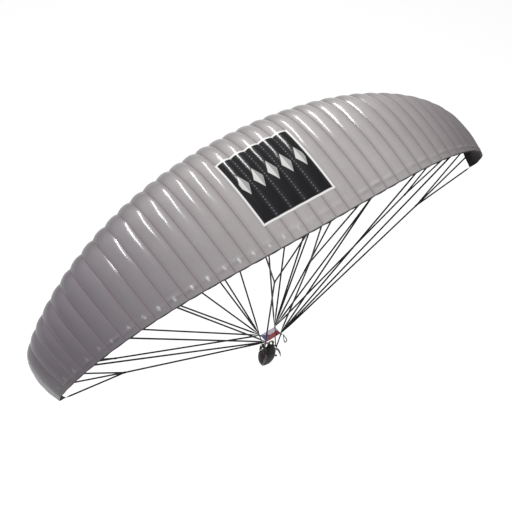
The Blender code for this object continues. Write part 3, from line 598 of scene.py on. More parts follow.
def plied_board(graph):
    """Thin plies of birch, their edges in dark and pale lines."""
    turned = graph.get("ShaderNodeMapping", {"Vector": graph.object_place(), "Rotation": (0, -HARNESS_ROLL, 0)})
    _, _, z = graph.parts(turned)
    grain = graph.noise(graph.scaled(turned, (6.0, 90.0, 6.0)), 1.0, 4.0)
    ply = graph.fade(graph.sine(z * (math.tau / PLY)), -0.3, 0.3)
    colour = graph.layers((0.42, 0.29, 0.16), (grain, (0.25, 0.16, 0.08)), (ply * 0.3, (0.18, 0.11, 0.05)))
    return {"Base Color": colour, "Roughness": grain * 0.2 + 0.5, "Normal": graph.bump(grain, 0.0004, 0.4)}


def banded_flag(graph):
    """Two long bands, and a wedge from one short end to the middle."""
    place = graph.cloth_place()
    x, y, _ = graph.parts(place)
    along, across = x / FLAG_LENGTH, y / FLAG_DEPTH
    wedge = graph.within(along * 2.0 + abs(across - 0.5) * 2.0, 0.99, 1.01)
    weave = graph.use(woven_threads, Place=place, Pitch=0.0011)["Height"]
    stain = graph.stain(place, 8.0)
    hem = graph.math("MINIMUM", (0.5 - abs(along - 0.5)) * FLAG_LENGTH, (0.5 - abs(across - 0.5)) * FLAG_DEPTH)
    fold = graph.within(hem, 0.009, 0.011)
    colour = graph.layers(
        (0.34, 0.012, 0.016), (graph.fade(across, 0.495, 0.505), (0.62, 0.57, 0.66)), (wedge, (0.05, 0.055, 0.19)),
        (stain["Broad"] * 0.18, (0.2, 0.18, 0.2)), (fold * 0.25, (0.05, 0.05, 0.06)))
    high = graph.bump(fold, 0.001, 0.8)
    return {"Base Color": colour, "Roughness": stain["Fine"] * 0.2 + 0.55,
            "Normal": graph.bump(weave, 0.0004, 0.5, high), "Sheen Weight": 0.2}


def painted_floor(graph):
    return {"Base Color": (*FLOOR_TONE, 1), "Roughness": 0.9}


LOOKS = {
    # Each sail cloth's second colour is painted shade, laid over its cells towards the left tip and the nose.
    "upper_cloth": (sail_cloth, (0.352, 0.334, 0.330), (0.110, 0.099, 0.117), True),
    "lower_cloth": (sail_cloth, (0.235, 0.196, 0.216), (0.165, 0.135, 0.152), False),
    "edge_tape": (ribbed_webbing, (0.05, 0.042, 0.05), (0.07, 0.06, 0.07), (0.2, 0.18, 0.2)),
    "line_braid": (cord_braid, (0.009, 0.008, 0.010)),
    "black_webbing": (ribbed_webbing, (0.020, 0.018, 0.022), (0.035, 0.03, 0.036), (0.12, 0.11, 0.12)),
    "pink_grey_webbing": (ribbed_webbing, (0.52, 0.43, 0.45), (0.17, 0.13, 0.145), (0.62, 0.56, 0.57)),
    "olive_webbing": (ribbed_webbing, (0.115, 0.105, 0.045), (0.05, 0.045, 0.026), (0.30, 0.28, 0.14)),
    "handle_braid": (cord_braid, (0.035, 0.028, 0.014)),
    "side_cloth": (pack_cloth, (0.045, 0.026, 0.029), (0.017, 0.012, 0.013)),
    "back_cloth": (pack_cloth, (0.026, 0.034, 0.038), (0.016, 0.020, 0.024)),
    "low_cloth": (pack_cloth, (0.055, 0.042, 0.036), (0.032, 0.026, 0.022)),
    "inner_cloth": (pack_cloth, (0.022, 0.022, 0.026), (0.014, 0.014, 0.016)),
    "grey_steel": (brushed_metal, (0.13, 0.13, 0.135)),
    "dark_alloy": (brushed_metal, (0.05, 0.05, 0.055)),
    "black_plastic": (moulded_plastic, (0.008, 0.008, 0.009)),
    "birch_board": (plied_board,),
    "flag_cloth": (banded_flag,),
    "pale_floor": (painted_floor,),
}
FINISHES = {}


def finish(name):
    """Each finish of the object, made when first used."""
    if name not in FINISHES:
        made = FINISHES[name] = bpy.data.materials.new(name)
        made.use_nodes = True
        graph = Graph(made.node_tree)
        look, *tones = LOOKS[name]
        graph.feed_all(made.node_tree.nodes["Principled BSDF"].inputs, look(graph, *tones))
    return FINISHES[name]


# Meshes

def new_object(name, data):
    made = bpy.data.objects.new(name, data)
    bpy.context.scene.collection.objects.link(made)
    return made


def new_piece(name, mesh, look):
    """A mesh in one finish, as an object."""
    mesh.materials.clear()
    mesh.materials.append(finish(look))
    return new_object(name, mesh)


def new_mesh(name, points, edges=(), faces=()):
    mesh = bpy.data.meshes.new(name)
    mesh.from_pydata([tuple(point) for point in points], list(edges), list(faces))
    return mesh


def grid_faces(rows, across, flip=False):
    faces = []
    for row in range(rows - 1):
        for i in range(across - 1):
            low = row * across + i
            face = (low, low + 1, low + across + 1, low + across)
            faces.append(face[::-1] if flip else face)
    return faces


def point_numbers(mesh, name, values):
    """Stores a number, or three, on each point."""
    if isinstance(values[0], tuple):
        flat = [number for value in values for number in value]
        mesh.attributes.new(name, "FLOAT_VECTOR", "POINT").data.foreach_set("vector", flat)
    else:
        mesh.attributes.new(name, "FLOAT", "POINT").data.foreach_set("value", values)


def cloth_object(name, points, faces, metres, look, cells=None, shares=None):
    """A sheet with its flat sizes as a UV map, and its places in the canopy on its points."""
    mesh = new_mesh(name, points, (), faces)
    layer = mesh.uv_layers.new(name="cloth")
    layer.data.foreach_set("uv", [size for loop in mesh.loops for size in metres[loop.vertex_index]])
    if cells:
        point_numbers(mesh, "cell", cells)
        point_numbers(mesh, "share", shares)
    mesh.shade_smooth()
    return new_piece(name, mesh, look)


def area_of(made):
    return sum(face.area for face in made.data.polygons)


def thicken(made, thickness, offset):
    solid = made.modifiers.new("cloth_thickness", "SOLIDIFY")
    solid.thickness = thickness
    solid.offset = offset
    solid.use_even_offset = True


def soften(made):
    edge = made.modifiers.new("soft_edges", "BEVEL")
    edge.width = 0.0006
    edge.segments = 2
    edge.limit_method = "ANGLE"
    edge.angle_limit = math.radians(40)
    return made


def plain_mesh(made):
    """The object's shape as a mesh, with its modifiers worked in."""
    bpy.context.view_layer.update()
    return bpy.data.meshes.new_from_object(made.evaluated_get(bpy.context.evaluated_depsgraph_get()))


def baked(made):
    mesh = plain_mesh(made)
    made.modifiers.clear()
    made.data = mesh
    mesh.name = made.name
    return made


def outward_faces(mesh, weld=0.0):
    """Turns every face outwards, after joining points that lie that near."""
    tidy = bmesh.new()
    tidy.from_mesh(mesh)
    if weld:
        bmesh.ops.remove_doubles(tidy, verts=tidy.verts, dist=weld)
    bmesh.ops.recalc_face_normals(tidy, faces=tidy.faces)
    tidy.to_mesh(mesh)
    tidy.free()


def carried(name, path, rings, across, halves, look):
    """A closed section carried along a path as rings of points, with each point's place on the strap stored."""
    count = len(across)
    runs, faces = [0.0], []
    for before, spot in zip(path, path[1:]):
        runs.append(runs[-1] + (spot - before).length)
    for i in range(len(rings) - 1):
        for k in range(count):
            follow = (k + 1) % count
            faces.append((count * i + k, count * i + follow, count * i + count + follow, count * i + count + k))
    faces.append(tuple(range(count))[::-1])
    faces.append(tuple(count * (len(rings) - 1) + k for k in range(count)))
    mesh = new_mesh(name, [point for ring in rings for point in ring], (), faces)
    outward_faces(mesh)
    point_numbers(mesh, "strap", [(x * half, run, half) for run, half in zip(runs, halves) for x in across])
    return new_piece(name, mesh, look)


def settle(made, replaced, smooth=True):
    """Ties a finished piece to the frame."""
    if smooth:
        made.data.shade_smooth()
    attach(made, "root")
    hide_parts(*replaced)
    return made


def blend(before, a, b, after, x):
    """A point on the smooth curve between a and b."""
    return 0.5 * (2 * a + (b - before) * x + (2 * before - 5 * a + 4 * b - after) * x**2
                  + (3 * a - before - 3 * b + after) * x**3)


def smooth_between(rows, share):
    """A point on a smooth curve through the rows, share running 0 to 1."""
    place = share * (len(rows) - 1)
    i = min(int(place), len(rows) - 2)
    return blend(rows[max(i - 1, 0)], rows[i], rows[i + 1], rows[min(i + 2, len(rows) - 1)], place - i)


def rounded_loop(points, steps=6):
    """A smooth closed line through the points."""
    count = len(points)
    made = []
    for i in range(count):
        around = [points[(i + shift) % count] for shift in (-1, 0, 1, 2)]
        made += [blend(*around, step / steps) for step in range(steps)]
    return made


def placed(points, matrix):
    return [matrix @ point for point in points]


# Canopy geometry

def span_point(t):
    """Middle of the section's trailing edge at t, and the direction out of the arch there."""
    x = HALF_SPAN * (t * SPAN_LINEAR + SPAN_CUBIC * t**3 + SPAN_QUINTIC * t**5)
    along_x = HALF_SPAN * (SPAN_LINEAR + 3 * SPAN_CUBIC * t**2 + 5 * SPAN_QUINTIC * t**4)
    z = sum(drop * t ** (2 * power + 2) for power, drop in enumerate(ARCH_DROP))
    along_z = sum((2 * power + 2) * drop * t ** (2 * power + 1) for power, drop in enumerate(ARCH_DROP))
    y = TIP_SWEEP[0] * t**2 + TIP_SWEEP[1] * t**6
    return Vector((x, y, z)), Vector((-along_z, 0, along_x)).normalized()


def along_arch(t):
    _, out = span_point(t)
    return Vector((out.z, 0, -out.x))


def chord_at(t):
    return sum(share * t ** (2 * power) for power, share in enumerate(CHORD))


def round_shape(u):
    """A wing section's half thickness, 0.5 at most, against the chord share u."""
    return 5 * (0.2969 * math.sqrt(u) - 0.126 * u - 0.3516 * u**2 + 0.2843 * u**3 - 0.1036 * u**4)


def section_height(u, upper):
    if not upper:
        return -LOWER_DEPTH * round_shape(u)
    if u < CAMBER_AT:
        lift = CAMBER * (2 * CAMBER_AT * u - u * u) / CAMBER_AT**2
    else:
        lift = CAMBER * ((1 - 2 * CAMBER_AT) + 2 * CAMBER_AT * u - u * u) / (1 - CAMBER_AT) ** 2
    return UPPER_DEPTH * round_shape(u) + lift


def section_normal(u, upper):
    """Outward direction in the section's plane: (forward, out of the arch)."""
    if u <= 0:
        return Vector((1, 0))
    step = min(0.002, u / 2)
    rise = (section_height(u + step, upper) - section_height(u - step, upper)) / (2 * step)
    sign = 1 if upper else -1
    return Vector((sign * rise, sign)).normalized()


def billow(t, u, upper, within):
    """How far the cloth stands out between two seams; within runs 0 to 1 across the cell."""
    if upper:
        share = TAIL_BILLOW + (NOSE_BILLOW - TAIL_BILLOW) * (1 - u) ** 0.7
        cell = round((t + 1) * CELLS / 2 - within)
        own = 0.6 + 0.8 * noise.noise(Vector((cell * 1.7, 0.4, 2.2)))
        shift = 0.012 * noise.noise(Vector((cell * 2.9, 5.4, 1.2)))
        share += MIDDLE_BILLOW * math.sin(math.pi * min(1.0, u / MIDDLE_BILLOW_END)) ** 2
        share += PILLOW * own * math.exp(-(((u - PILLOW_AT - shift) / PILLOW_REACH) ** 2))
    else:
        share = LOWER_BILLOW
    fade = 1 - BULGE_FADE * t * t
    return CELL_BULGE * share * fade * 4 * within * (1 - within)


def sail_point(t, u, upper, within=0.0, inward=0.0):
    """A point on the outside of a sail, or that far inside it."""
    base, out = span_point(t)
    chord = chord_at(t)
    normal = section_normal(u, upper)
    stand = billow(t, u, upper, within) - inward
    forward = (1 - u) * chord + normal.x * stand
    height = section_height(u, upper) * chord + normal.y * stand
    height += TRAILING_HALF if upper else -TRAILING_HALF
    point = base + FORWARD * forward + out * height
    point.x -= math.copysign(t * t, t) * TIP_TOE_IN * forward
    return point - MIDDLE


def middle_point():
    """The highest point of the middle cell, which is the model's origin."""
    normal = section_normal(0.3, True)
    stand = CELL_BULGE * (TAIL_BILLOW + (NOSE_BILLOW - TAIL_BILLOW) * 0.7**0.7)
    chord = chord_at(0.0)
    return Vector((0, 0.7 * chord + normal.x * stand,
                   section_height(0.3, True) * chord + normal.y * stand + TRAILING_HALF))


MIDDLE = middle_point()


def rigging_point(x, y, z):
    return Vector((x, y, z)) - MIDDLE


def seam_t(seam):
    return (2 * seam - CELLS) / CELLS


def unevenness(cell, u, within):
    """Small uneven pull of the cloth, none at the seams."""
    long_fold = noise.noise(Vector((cell * 2.3, u * 9.0, 0.7)))
    short_fold = noise.noise(Vector((cell * 5.1, u * 34.0, 4.2)))
    return RIPPLE * (long_fold + 0.45 * short_fold) * 4 * within * (1 - within)


def spaced_shares(count, first, last):
    """Chord shares, closer together towards the nose."""
    low, high = math.sqrt(first), math.sqrt(last)
    return [(low + (high - low) * i / (count - 1)) ** 2 for i in range(count)]


def sail(name, stations, look, flip):
    """One sheet of sail from tip to tip: points in rows from the tail to the nose, or the other way."""
    columns = [(cell + step / CELL_STEPS, step / CELL_STEPS) for cell in range(CELLS) for step in range(CELL_STEPS)]
    columns.append((float(CELLS), 0.0))
    points, cells, shares = [], [], []
    for u, upper in stations:
        for cell, within in columns:
            own = u(cell) if callable(u) else u
            points.append(sail_point(seam_t(cell), own, upper, within, -unevenness(cell, own, within)))
            cells.append(cell)
            shares.append(own)
    across = len(columns)
    metres = [[0.0, 0.0] for _ in points]
    for here in range(len(points)):
        if here >= across:
            metres[here][1] = metres[here - across][1] + (points[here] - points[here - across]).length
        if here % across:
            metres[here][0] = metres[here - 1][0] + (points[here] - points[here - 1]).length
    made = cloth_object(name, points, grid_faces(len(stations), across, flip), metres, look, cells, shares)
    mark_seams(made, across)
    thicken(made, CLOTH, -1)
    parts = [f"{name}_{part}" for part in ("left_tip", "left", "centre", "right", "right_tip")]
    settle(made, parts, smooth=False)


def mark_seams(made, across):
    """The seams stay crisp valleys."""
    sharp = made.data.attributes.new("sharp_edge", "BOOLEAN", "EDGE")
    for edge, mark in zip(made.data.edges, sharp.data):
        first, second = edge.vertices
        if (second - first) % across == 0 and (first % across) % CELL_STEPS == 0:
            mark.value = True


def upper_sail():
    shares = spaced_shares(UPPER_ROWS, 0.0, TAIL_FROM)
    shares += [TAIL_FROM + (1 - TAIL_FROM) * i / TAIL_ROWS for i in range(1, TAIL_ROWS + 1)]
    stations = [(u, True) for u in reversed(shares)] + [(LIP / 2, False), (LIP, False)]
    sail("upper_sail", stations, "upper_cloth", False)


def mouth_edge(cell):
    """Where the lower sail ends at the nose: behind the mouth, or at the lip of a closed cell."""
    whole = min(int(cell), CELLS - 1)
    shut = whole < CLOSED_CELLS or whole >= CELLS - CLOSED_CELLS
    return LIP + 0.002 if shut and cell != CELLS - CLOSED_CELLS else MOUTH


def lower_sail():
    shares = spaced_shares(LOWER_ROWS, MOUTH, 1.0)
    stations = [(mouth_edge, False), (lambda cell: (mouth_edge(cell) + MOUTH) / 2 + 0.001, False)]
    stations += [(u, False) for u in shares[1:]]
    sail("lower_sail", stations[::-1], "lower_cloth", True)


def ribs():
    """The ribs that part the cells, thin slabs just inside the sails."""
    points, faces, cells, metres = [], [], [], []
    top_shares = spaced_shares(*RIB_SHARES)[::-1]
    inside = CLOTH + 0.0002
    for seam in range(CELLS + 1):
        t = seam_t(seam)
        shift = END_RIB_IN if seam == 0 else -END_RIB_IN if seam == CELLS else 0.0
        along = along_arch(t)
        for side in (-1, 1):
            start = len(points)
            for top in top_shares:
                low = max(top, mouth_edge(min(seam, CELLS - 1)))
                above = sail_point(t, top, True, 0.0, inside)
                below = sail_point(t, low, False, 0.0, inside)
                for share in (0.0, 0.5, 1.0):
                    points.append(above.lerp(below, share) + along * (shift + side * CLOTH / 2))
                    cells.append(seam + 0.5)
                    metres.append((top * chord_at(t), share * (above - below).length))
            faces += [tuple(start + i for i in face) for face in grid_faces(len(top_shares), 3, side > 0)]
    made = cloth_object("cell_ribs", points, faces, metres, "lower_cloth", cells, [0.5] * len(points))
    settle(made, [])


def edge_tape(name, path, frames, thick):
    """A narrow tape folded round a cloth edge: a small rounded section carried along the path."""
    section = [[math.copysign(abs(part) ** 0.6, part) for part in (math.cos(turn), math.sin(turn))]
               for turn in [math.tau * i / TAPE_SIDES for i in range(TAPE_SIDES)]]
    rings = [[spot + wide * (x * TAPE_HALF) + high * (y * thick) for x, y in section]
             for spot, (wide, high) in zip(path, frames)]
    made = carried(name, path, rings, [x for x, _ in section], [TAPE_HALF] * len(path), "edge_tape")
    settle(made, [])


def trailing_tape():
    path, frames = [], []
    steps = CELLS * 6
    for i in range(steps + 1):
        cell = CELLS * i / steps
        t = seam_t(cell)
        top, low = (sail_point(t, 1.0, upper, cell % 1.0) for upper in (True, False))
        path.append(top.lerp(low, 0.5) + FORWARD * 0.004)
        frames.append((FORWARD, span_point(t)[1]))
    edge_tape("trailing_edge_tape", path, frames, TRAILING_HALF + 0.0015)


# Tip fins

def fin_drop(u):
    """The fin's share of its full drop at a chord share, between its stations."""
    for (back, more), (front, less) in zip(FIN_DROPS, FIN_DROPS[1:]):
        if u >= front:
            share = (u - front) / (back - front)
            share = share * share * (3 - 2 * share) * 0.35 + share * 0.65
            return less + (more - less) * share
    return FIN_DROPS[-1][1]


def fin_point(side, u, down, lip):
    last = FIN_DROPS[-1][0]
    curl = lip * (u - last) / (1 - last)
    reach = Vector((side * FIN_REACH[0], *FIN_REACH[1:])) * fin_drop(u) * down
    turned = Vector((side * FIN_LIP[0], *FIN_LIP[1:])) * curl
    return sail_point(side, u, True, 0.0, 0.001) + along_arch(side) * side * FIN_OFF + reach + turned


def tip_fin(side, hand):
    steps_along, steps_down = FIN_STEPS
    points, metres = [], []
    for i in range(steps_along + 1):
        u = 1.0 - (1.0 - FIN_DROPS[-1][0]) * i / steps_along
        rail = [fin_point(side, u, down, lip) for down, lip in FIN_PROFILE]
        depth = sum((b - a).length for a, b in zip(rail, rail[1:]))
        for j in range(steps_down + 1):
            share = j / steps_down
            pull = 0.004 * noise.noise(Vector((u * 9, share * 2.5, side))) * math.sin(math.pi * share)
            points.append(smooth_between(rail, share) + RIGHTWARD * pull)
            metres.append((depth * share, u * TIP_CHORD))
    cells = [0.5 if side < 0 else CELLS - 0.5] * len(points)
    faces = grid_faces(steps_along + 1, steps_down + 1, side < 0)
    made = cloth_object("tip_fin_cloth_" + hand, points, faces, metres, "upper_cloth", cells, [0.5] * len(points))
    area = area_of(made)
    thicken(made, CLOTH, 0)
    settle(made, ["tip_fin_" + hand])
    width = max(pair[0] for pair in metres)
    min(area, width * FIN_LENGTH)
    path = [fin_point(side, 1.0 - 0.8 * i / steps_along, *FIN_PROFILE[-1]) for i in range(steps_along + 1)]
    frames = [(Vector((side, 0, 0.35)).normalized(), Vector((-0.35 * side, 0, 1)).normalized())] * len(path)
    edge_tape("fin_tape_" + hand, path, frames, 0.0022)


# Lines

def line_end(cells_out, share, side):
    """Where a line is sewn on: under a seam at that chord share, or on the fin's edge."""
    if share is None:
        return fin_point(side, 1.0, *FIN_PROFILE[-1])
    return sail_point(seam_t(CELLS / 2 + side * cells_out), share, False)


def stretch(start, way, stations):
    """Points along a way, and the radius at each."""
    return [start + way * off for off, _ in stations], [size for _, size in stations]


def line_routes():
    """Every stretch of line as (points, radii), and every sewn end as (point, run)."""
    routes, ends = [], []
    for side, _ in SIDES:
        for y, rows in ((FRONT_Y, FRONT_LINES), (REAR_Y, REAR_LINES)):
            for i, (key, where) in enumerate(rows.items()):
                bar_y = y - (i - (len(rows) - 1) / 2) * LINK_PITCH
                bar = rigging_point(side * RISER_X, bar_y, RISER_TOP)
                sewn = [line_end(out, share, side) for out, share in where]
                single = len(sewn) == 1
                if key in KNOTS:
                    x, *rest = KNOTS[key]
                    knot = rigging_point(side * x, *rest)
                else:
                    knot = sewn[0] if single else bar.lerp(sum(sewn, Vector()) / len(sewn), FORK_AT)
                way = (knot - bar).normalized()
                start = bar + way * (LINK_ROD + 0.001)
                points, radii = stretch(start, way, LINE_START)
                if single:
                    last = knot - way * END_GAP
                    routes.append((points + [last - way * 0.3, last], radii + [LINE_RADIUS, END_RADIUS]))
                    ends.append((knot, way))
                    continue
                swell, sizes = stretch(knot, way, KNOT_SWELL)
                routes.append((points + swell, radii + sizes))
                for point in sewn:
                    run = (point - knot).normalized()
                    last = point - run * END_GAP
                    routes.append(([knot, knot.lerp(last, 0.5), knot.lerp(last, 0.93), last],
                                   [BRANCH_RADIUS] * 3 + [END_RADIUS]))
                    ends.append((point, run))
    return routes, ends


def named(graph, name, kind="FLOAT"):
    return graph.get("GeometryNodeInputNamedAttribute", {"Name": name}, data_type=kind)


def stored(graph, geometry, name, value, kind="FLOAT"):
    return graph.get("GeometryNodeStoreNamedAttribute", {"Geometry": geometry, "Name": name, "Value": value},
                     data_type=kind, domain="POINT")


def spread(graph, points, piece, way):
    """A copy of the piece on each point, its height along the way."""
    turn = graph.get("FunctionNodeAlignRotationToVector", {"Vector": way}, axis="Z")
    return graph.get("GeometryNodeInstanceOnPoints", {"Points": points, "Instance": piece, "Rotation": turn})


def round_tube(graph, given):
    """Geometry nodes: a round tube along each edge path, as thick as the path's own radius, with braid numbers."""
    path = graph.get("GeometryNodeMeshToCurve", {"Mesh": given["Geometry"]})
    held = stored(graph, path, "run", graph.get("GeometryNodeSplineParameter", (), "Length"))
    circle = graph.get("GeometryNodeCurvePrimitiveCircle", {"Resolution": given["Sides"], "Radius": 1.0})
    ring = stored(graph, circle, "turn", graph.get("GeometryNodeSplineParameter", (), "Factor"))
    tube = graph.get("GeometryNodeCurveToMesh", {"Curve": held, "Profile Curve": ring, "Fill Caps": True,
                                                 "Scale": named(graph, "radius")})
    braid = graph.join(named(graph, "turn"), named(graph, "run"))
    return stored(graph, tube, "braid", braid, "FLOAT_VECTOR")


def sewn_tabs(graph, given):
    """Geometry nodes: a small sewn tab on each point, standing along the point's run."""
    size = graph.join(given["Width"], given["Thickness"], given["Length"])
    block = graph.get("GeometryNodeMeshCube", {"Size": size, "Vertices X": 4, "Vertices Y": 3, "Vertices Z": 5})
    down = graph.join(0.0, 0.0, given["Length"] * -0.5)
    block = graph.get("GeometryNodeTransform", {"Geometry": block, "Translation": down})
    return spread(graph, given["Geometry"], block, named(graph, "run", "FLOAT_VECTOR"))


def raised_stitches(graph, given):
    """Geometry nodes: short raised stitches, evenly spaced along each edge path."""
    path = graph.get("GeometryNodeMeshToCurve", {"Mesh": given["Geometry"]})
    spots = graph.all("GeometryNodeCurveToPoints", {"Curve": path, "Length": given["Pitch"]}, mode="LENGTH")
    bead = graph.get("GeometryNodeMeshCylinder", {"Vertices": 5, "Side Segments": 1, "Radius": given["Thickness"],
                                                  "Depth": given["Length"]})
    return spread(graph, spots["Points"], bead, spots["Tangent"])


def geometry_tree(maker, sizes):
    """A geometry tree with named inputs, and the sockets' own labels."""
    tree = bpy.data.node_groups.new(maker.__name__, "GeometryNodeTree")
    sockets = {}
    for label, kind in (("Geometry", "Geometry"), *sizes.items(), ("Finish", "Material")):
        made = tree.interface.new_socket(label, in_out="INPUT", socket_type="NodeSocket" + kind)
        sockets[label] = made.identifier
    tree.interface.new_socket("Geometry", in_out="OUTPUT", socket_type="NodeSocketGeometry")
    graph = Graph(tree)
    given = graph.all("NodeGroupInput")
    real = graph.get("GeometryNodeRealizeInstances", {0: maker(graph, given)})
    painted = graph.get("GeometryNodeSetMaterial", {"Geometry": real, "Material": given["Finish"]})
    graph.add("NodeGroupOutput", {0: painted}, {})
    return tree, sockets


TREES = {}


def grown(name, mesh, maker, look, **sizes):
    """The mesh passed through a geometry tree and made plain."""
    if maker not in TREES:
        kinds = {label: "Int" if isinstance(size, int) else "Float" for label, size in sizes.items()}
        TREES[maker] = geometry_tree(maker, kinds)
    tree, sockets = TREES[maker]
    made = new_object(name, mesh)
    change = made.modifiers.new(name, "NODES")
    change.node_group = tree
    for label, value in {**sizes, "Finish": finish(look)}.items():
        change[sockets[label]] = value
    return baked(made)


def path_mesh(name, paths, closed=False):
    points, edges = [], []
    for path in paths:
        start = len(points)
        points += path
        edges += [(start + i, start + i + 1) for i in range(len(path) - 1)]
        if closed:
            edges.append((start + len(path) - 1, start))
    return new_mesh(name, points, edges)


def tubes(name, routes, look, replaced, sides=12, closed=False, smooth=True):
    """Round tubes along several routes, each a list of points with a list of radii."""
    mesh = path_mesh(name, [path for path, _ in routes], closed)
    point_numbers(mesh, "radius", [size for _, sizes in routes for size in sizes])
    made = grown(name, mesh, round_tube, look, Sides=sides)
    outward_faces(made.data)
    settle(made, replaced, smooth)


def suspension_lines():
    routes, ends = line_routes()
    names = [f"line_{key}_{hand}" for _, hand in SIDES for key in (*FRONT_LINES, *REAR_LINES)]
    tubes("suspension_lines", routes, "line_braid", names)
    mesh = new_mesh("line_tabs", [point for point, _ in ends])
    point_numbers(mesh, "run", [tuple(run) for _, run in ends])
    width, length, thickness = TAB_SIZE
    tabs = grown("line_tabs", mesh, sewn_tabs, "edge_tape", Width=width, Length=length, Thickness=thickness)
    settle(tabs, [], smooth=False)


# Metal rings, webbing and handles

def ring_path(half_width, height):
    """The middle line of a rounded rectangular ring in the YZ plane, its top bar at zero."""
    corner = half_width * RING_CORNER
    high, low = -corner, -height + corner
    points = []
    for side, cz, start in ((1, high, 90), (1, low, 0), (-1, low, -90), (-1, high, -180)):
        cy = side * (half_width - corner)
        for step in range(RING_STEPS):
            angle = math.radians(start - 90 * step / (RING_STEPS - 1))
            points.append(Vector((0, cy + corner * math.cos(angle), cz + corner * math.sin(angle))))
    return points


def clip_top(side):
    return rigging_point(CLIP_SHIFT + side * CLIP_X, CLIP_Y, CLIP_Z - side * CLIP_TILT)


def clip_foot(side):
    return clip_top(side) - Matrix.Rotation(HARNESS_ROLL, 3, "Y") @ UPWARD * CLIP_HEIGHT


def ring_and_sleeve(names, replaced, sizes, place, look, sides, bar_side, share, radius):
    """A metal ring, and a sleeve round one of its side bars."""
    half_width, height, rod = sizes
    loop = ring_path(half_width, height)
    tubes(names[0], [(placed(loop, place), [rod] * len(loop))], look, [replaced], sides[0], True)
    y = bar_side * half_width
    top, low = (-height * (1 + end * share) / 2 for end in (-1, 1))
    ends = ((0.0, rod), (0.02, radius * 0.92), (0.08, radius), (0.92, radius), (0.98, radius * 0.92), (1.0, rod))
    bar = placed([Vector((0, y, top + (low - top) * off)) for off, _ in ends], place)
    tubes(names[1], [(bar, [size for _, size in ends])], "grey_steel", [], sides[1],
          smooth=sides[1] > NUT_SIDES)


def links_and_clips():
    for side, hand in SIDES:
        for y, row in ((FRONT_Y, "front"), (REAR_Y, "rear")):
            place = Matrix.Translation(rigging_point(side * RISER_X, y, RISER_TOP))
            names = (f"link_ring_{row}_{hand}", f"link_nut_{row}_{hand}")
            ring_and_sleeve(names, f"link_{row}_{hand}", (LINK_HALF_WIDTH, LINK_HEIGHT, LINK_ROD), place,
                            "grey_steel", (14, NUT_SIDES), -1, *LINK_NUT)
        place = Matrix.Translation(clip_top(side)) @ Matrix.Rotation(HARNESS_ROLL, 4, "Y")
        names = ("karabiner_ring_" + hand, "karabiner_sleeve_" + hand)
        ring_and_sleeve(names, "karabiner_" + hand, (CLIP_HALF_WIDTH, CLIP_HEIGHT, CLIP_ROD), place,
                        "dark_alloy", (16, 18), 1, *CLIP_SLEEVE)


def arc(y, radius, first, last, count):
    turns = [first + (last - first) * i / (count - 1) for i in range(count)]
    return [Vector((radius * math.cos(turn), y + radius * math.sin(turn), 0)) for turn in turns]


def end_outline(y, radius, way):
    """The webbing's outline round one end: an eye's arc, or a plain end where radius is 0."""
    if not radius:
        return [Vector((way * WEB / 2, y, 0)), Vector((-way * WEB / 2, y, 0))]
    turn = math.radians(way * 90)
    side = math.asin(WEB / 2 / radius)
    return arc(y, radius, turn - math.pi + side, turn + math.pi - side, 25)


def webbing(name, top, bottom, rods, width, look):
    """A strap between bars that run along Y, its ends sewn into eyes round rods of those radii."""
    run = top - bottom
    level_run = Vector((run.x, 0, run.z))
    length = level_run.length
    eyes = [rod + EYE_CLEARANCE if rod else 0 for rod in rods]
    outer = [eye + WEB if eye else 0 for eye in eyes]
    outlines = [end_outline(0, outer[0], 1) + end_outline(-length, outer[1], -1)]
    outlines += [arc(-length * i, eye, 0, math.tau * 23 / 24, 24) for i, eye in enumerate(eyes) if eye]
    curve = bpy.data.curves.new(name, "CURVE")
    curve.dimensions = "2D"
    curve.fill_mode = "BOTH"
    curve.extrude = width / 2
    for outline in outlines:
        spline = curve.splines.new("POLY")
        spline.points.add(len(outline) - 1)
        for spot, point in zip(spline.points, outline):
            spot.co = (*point, 1)
        spline.use_cyclic_u = True
    drawn = new_object(name + "_outline", curve)
    mesh = plain_mesh(drawn)
    bpy.data.objects.remove(drawn)
    outward_faces(mesh, 0.00002)
    point_numbers(mesh, "strap", [(v.co.z, v.co.y, width / 2) for v in mesh.vertices])
    thin = level_run.cross(FORWARD).normalized()
    mesh.transform(Matrix((thin, run / length, FORWARD)).transposed().to_4x4())
    mesh.transform(Matrix.Translation(top))
    return soften(new_piece(name, mesh, look))


def risers():
    for side, hand in SIDES:
        for y, row, step in ((FRONT_Y, "front", RISER_STEP), (REAR_Y, "rear", -RISER_STEP)):
            top = rigging_point(side * RISER_X, y, RISER_TOP) - UPWARD * LINK_HEIGHT
            bottom = clip_top(side) + FORWARD * step
            made = webbing(f"riser_webbing_{row}_{hand}", top, bottom, (LINK_ROD, CLIP_ROD), RISER_WIDTH,
                           "black_webbing")
            settle(made, [f"riser_{row}_{hand}"], smooth=False)
            sewn_box(f"riser_stitches_{row}_{hand}", top, bottom)


def sewn_box(name, top, bottom):
    """Close zigzag thread across a riser below its upper eye and above its lower one, on both faces."""
    run = (bottom - top).normalized()
    level = Vector((run.x, 0, run.z)).normalized()
    thin = level.cross(FORWARD).normalized()
    paths = []
    for start, way in ((top, run), (bottom, -run)):
        for face in (-1, 1):
            off = thin * face * (WEB / 2 + 0.0003)
            paths.append([start + way * (SEWN_FROM + SEWN_STEP * i) + off
                          + FORWARD * (SEWN_HALF if i % 2 else -SEWN_HALF) for i in range(SEWN_COUNT)])
    made = grown(name, path_mesh(name, paths), raised_stitches, "pink_grey_webbing", Pitch=STITCH_PITCH,
                 Length=STITCH_PITCH * STITCH_LENGTH, Thickness=STITCH_RADIUS)
    settle(made, [])


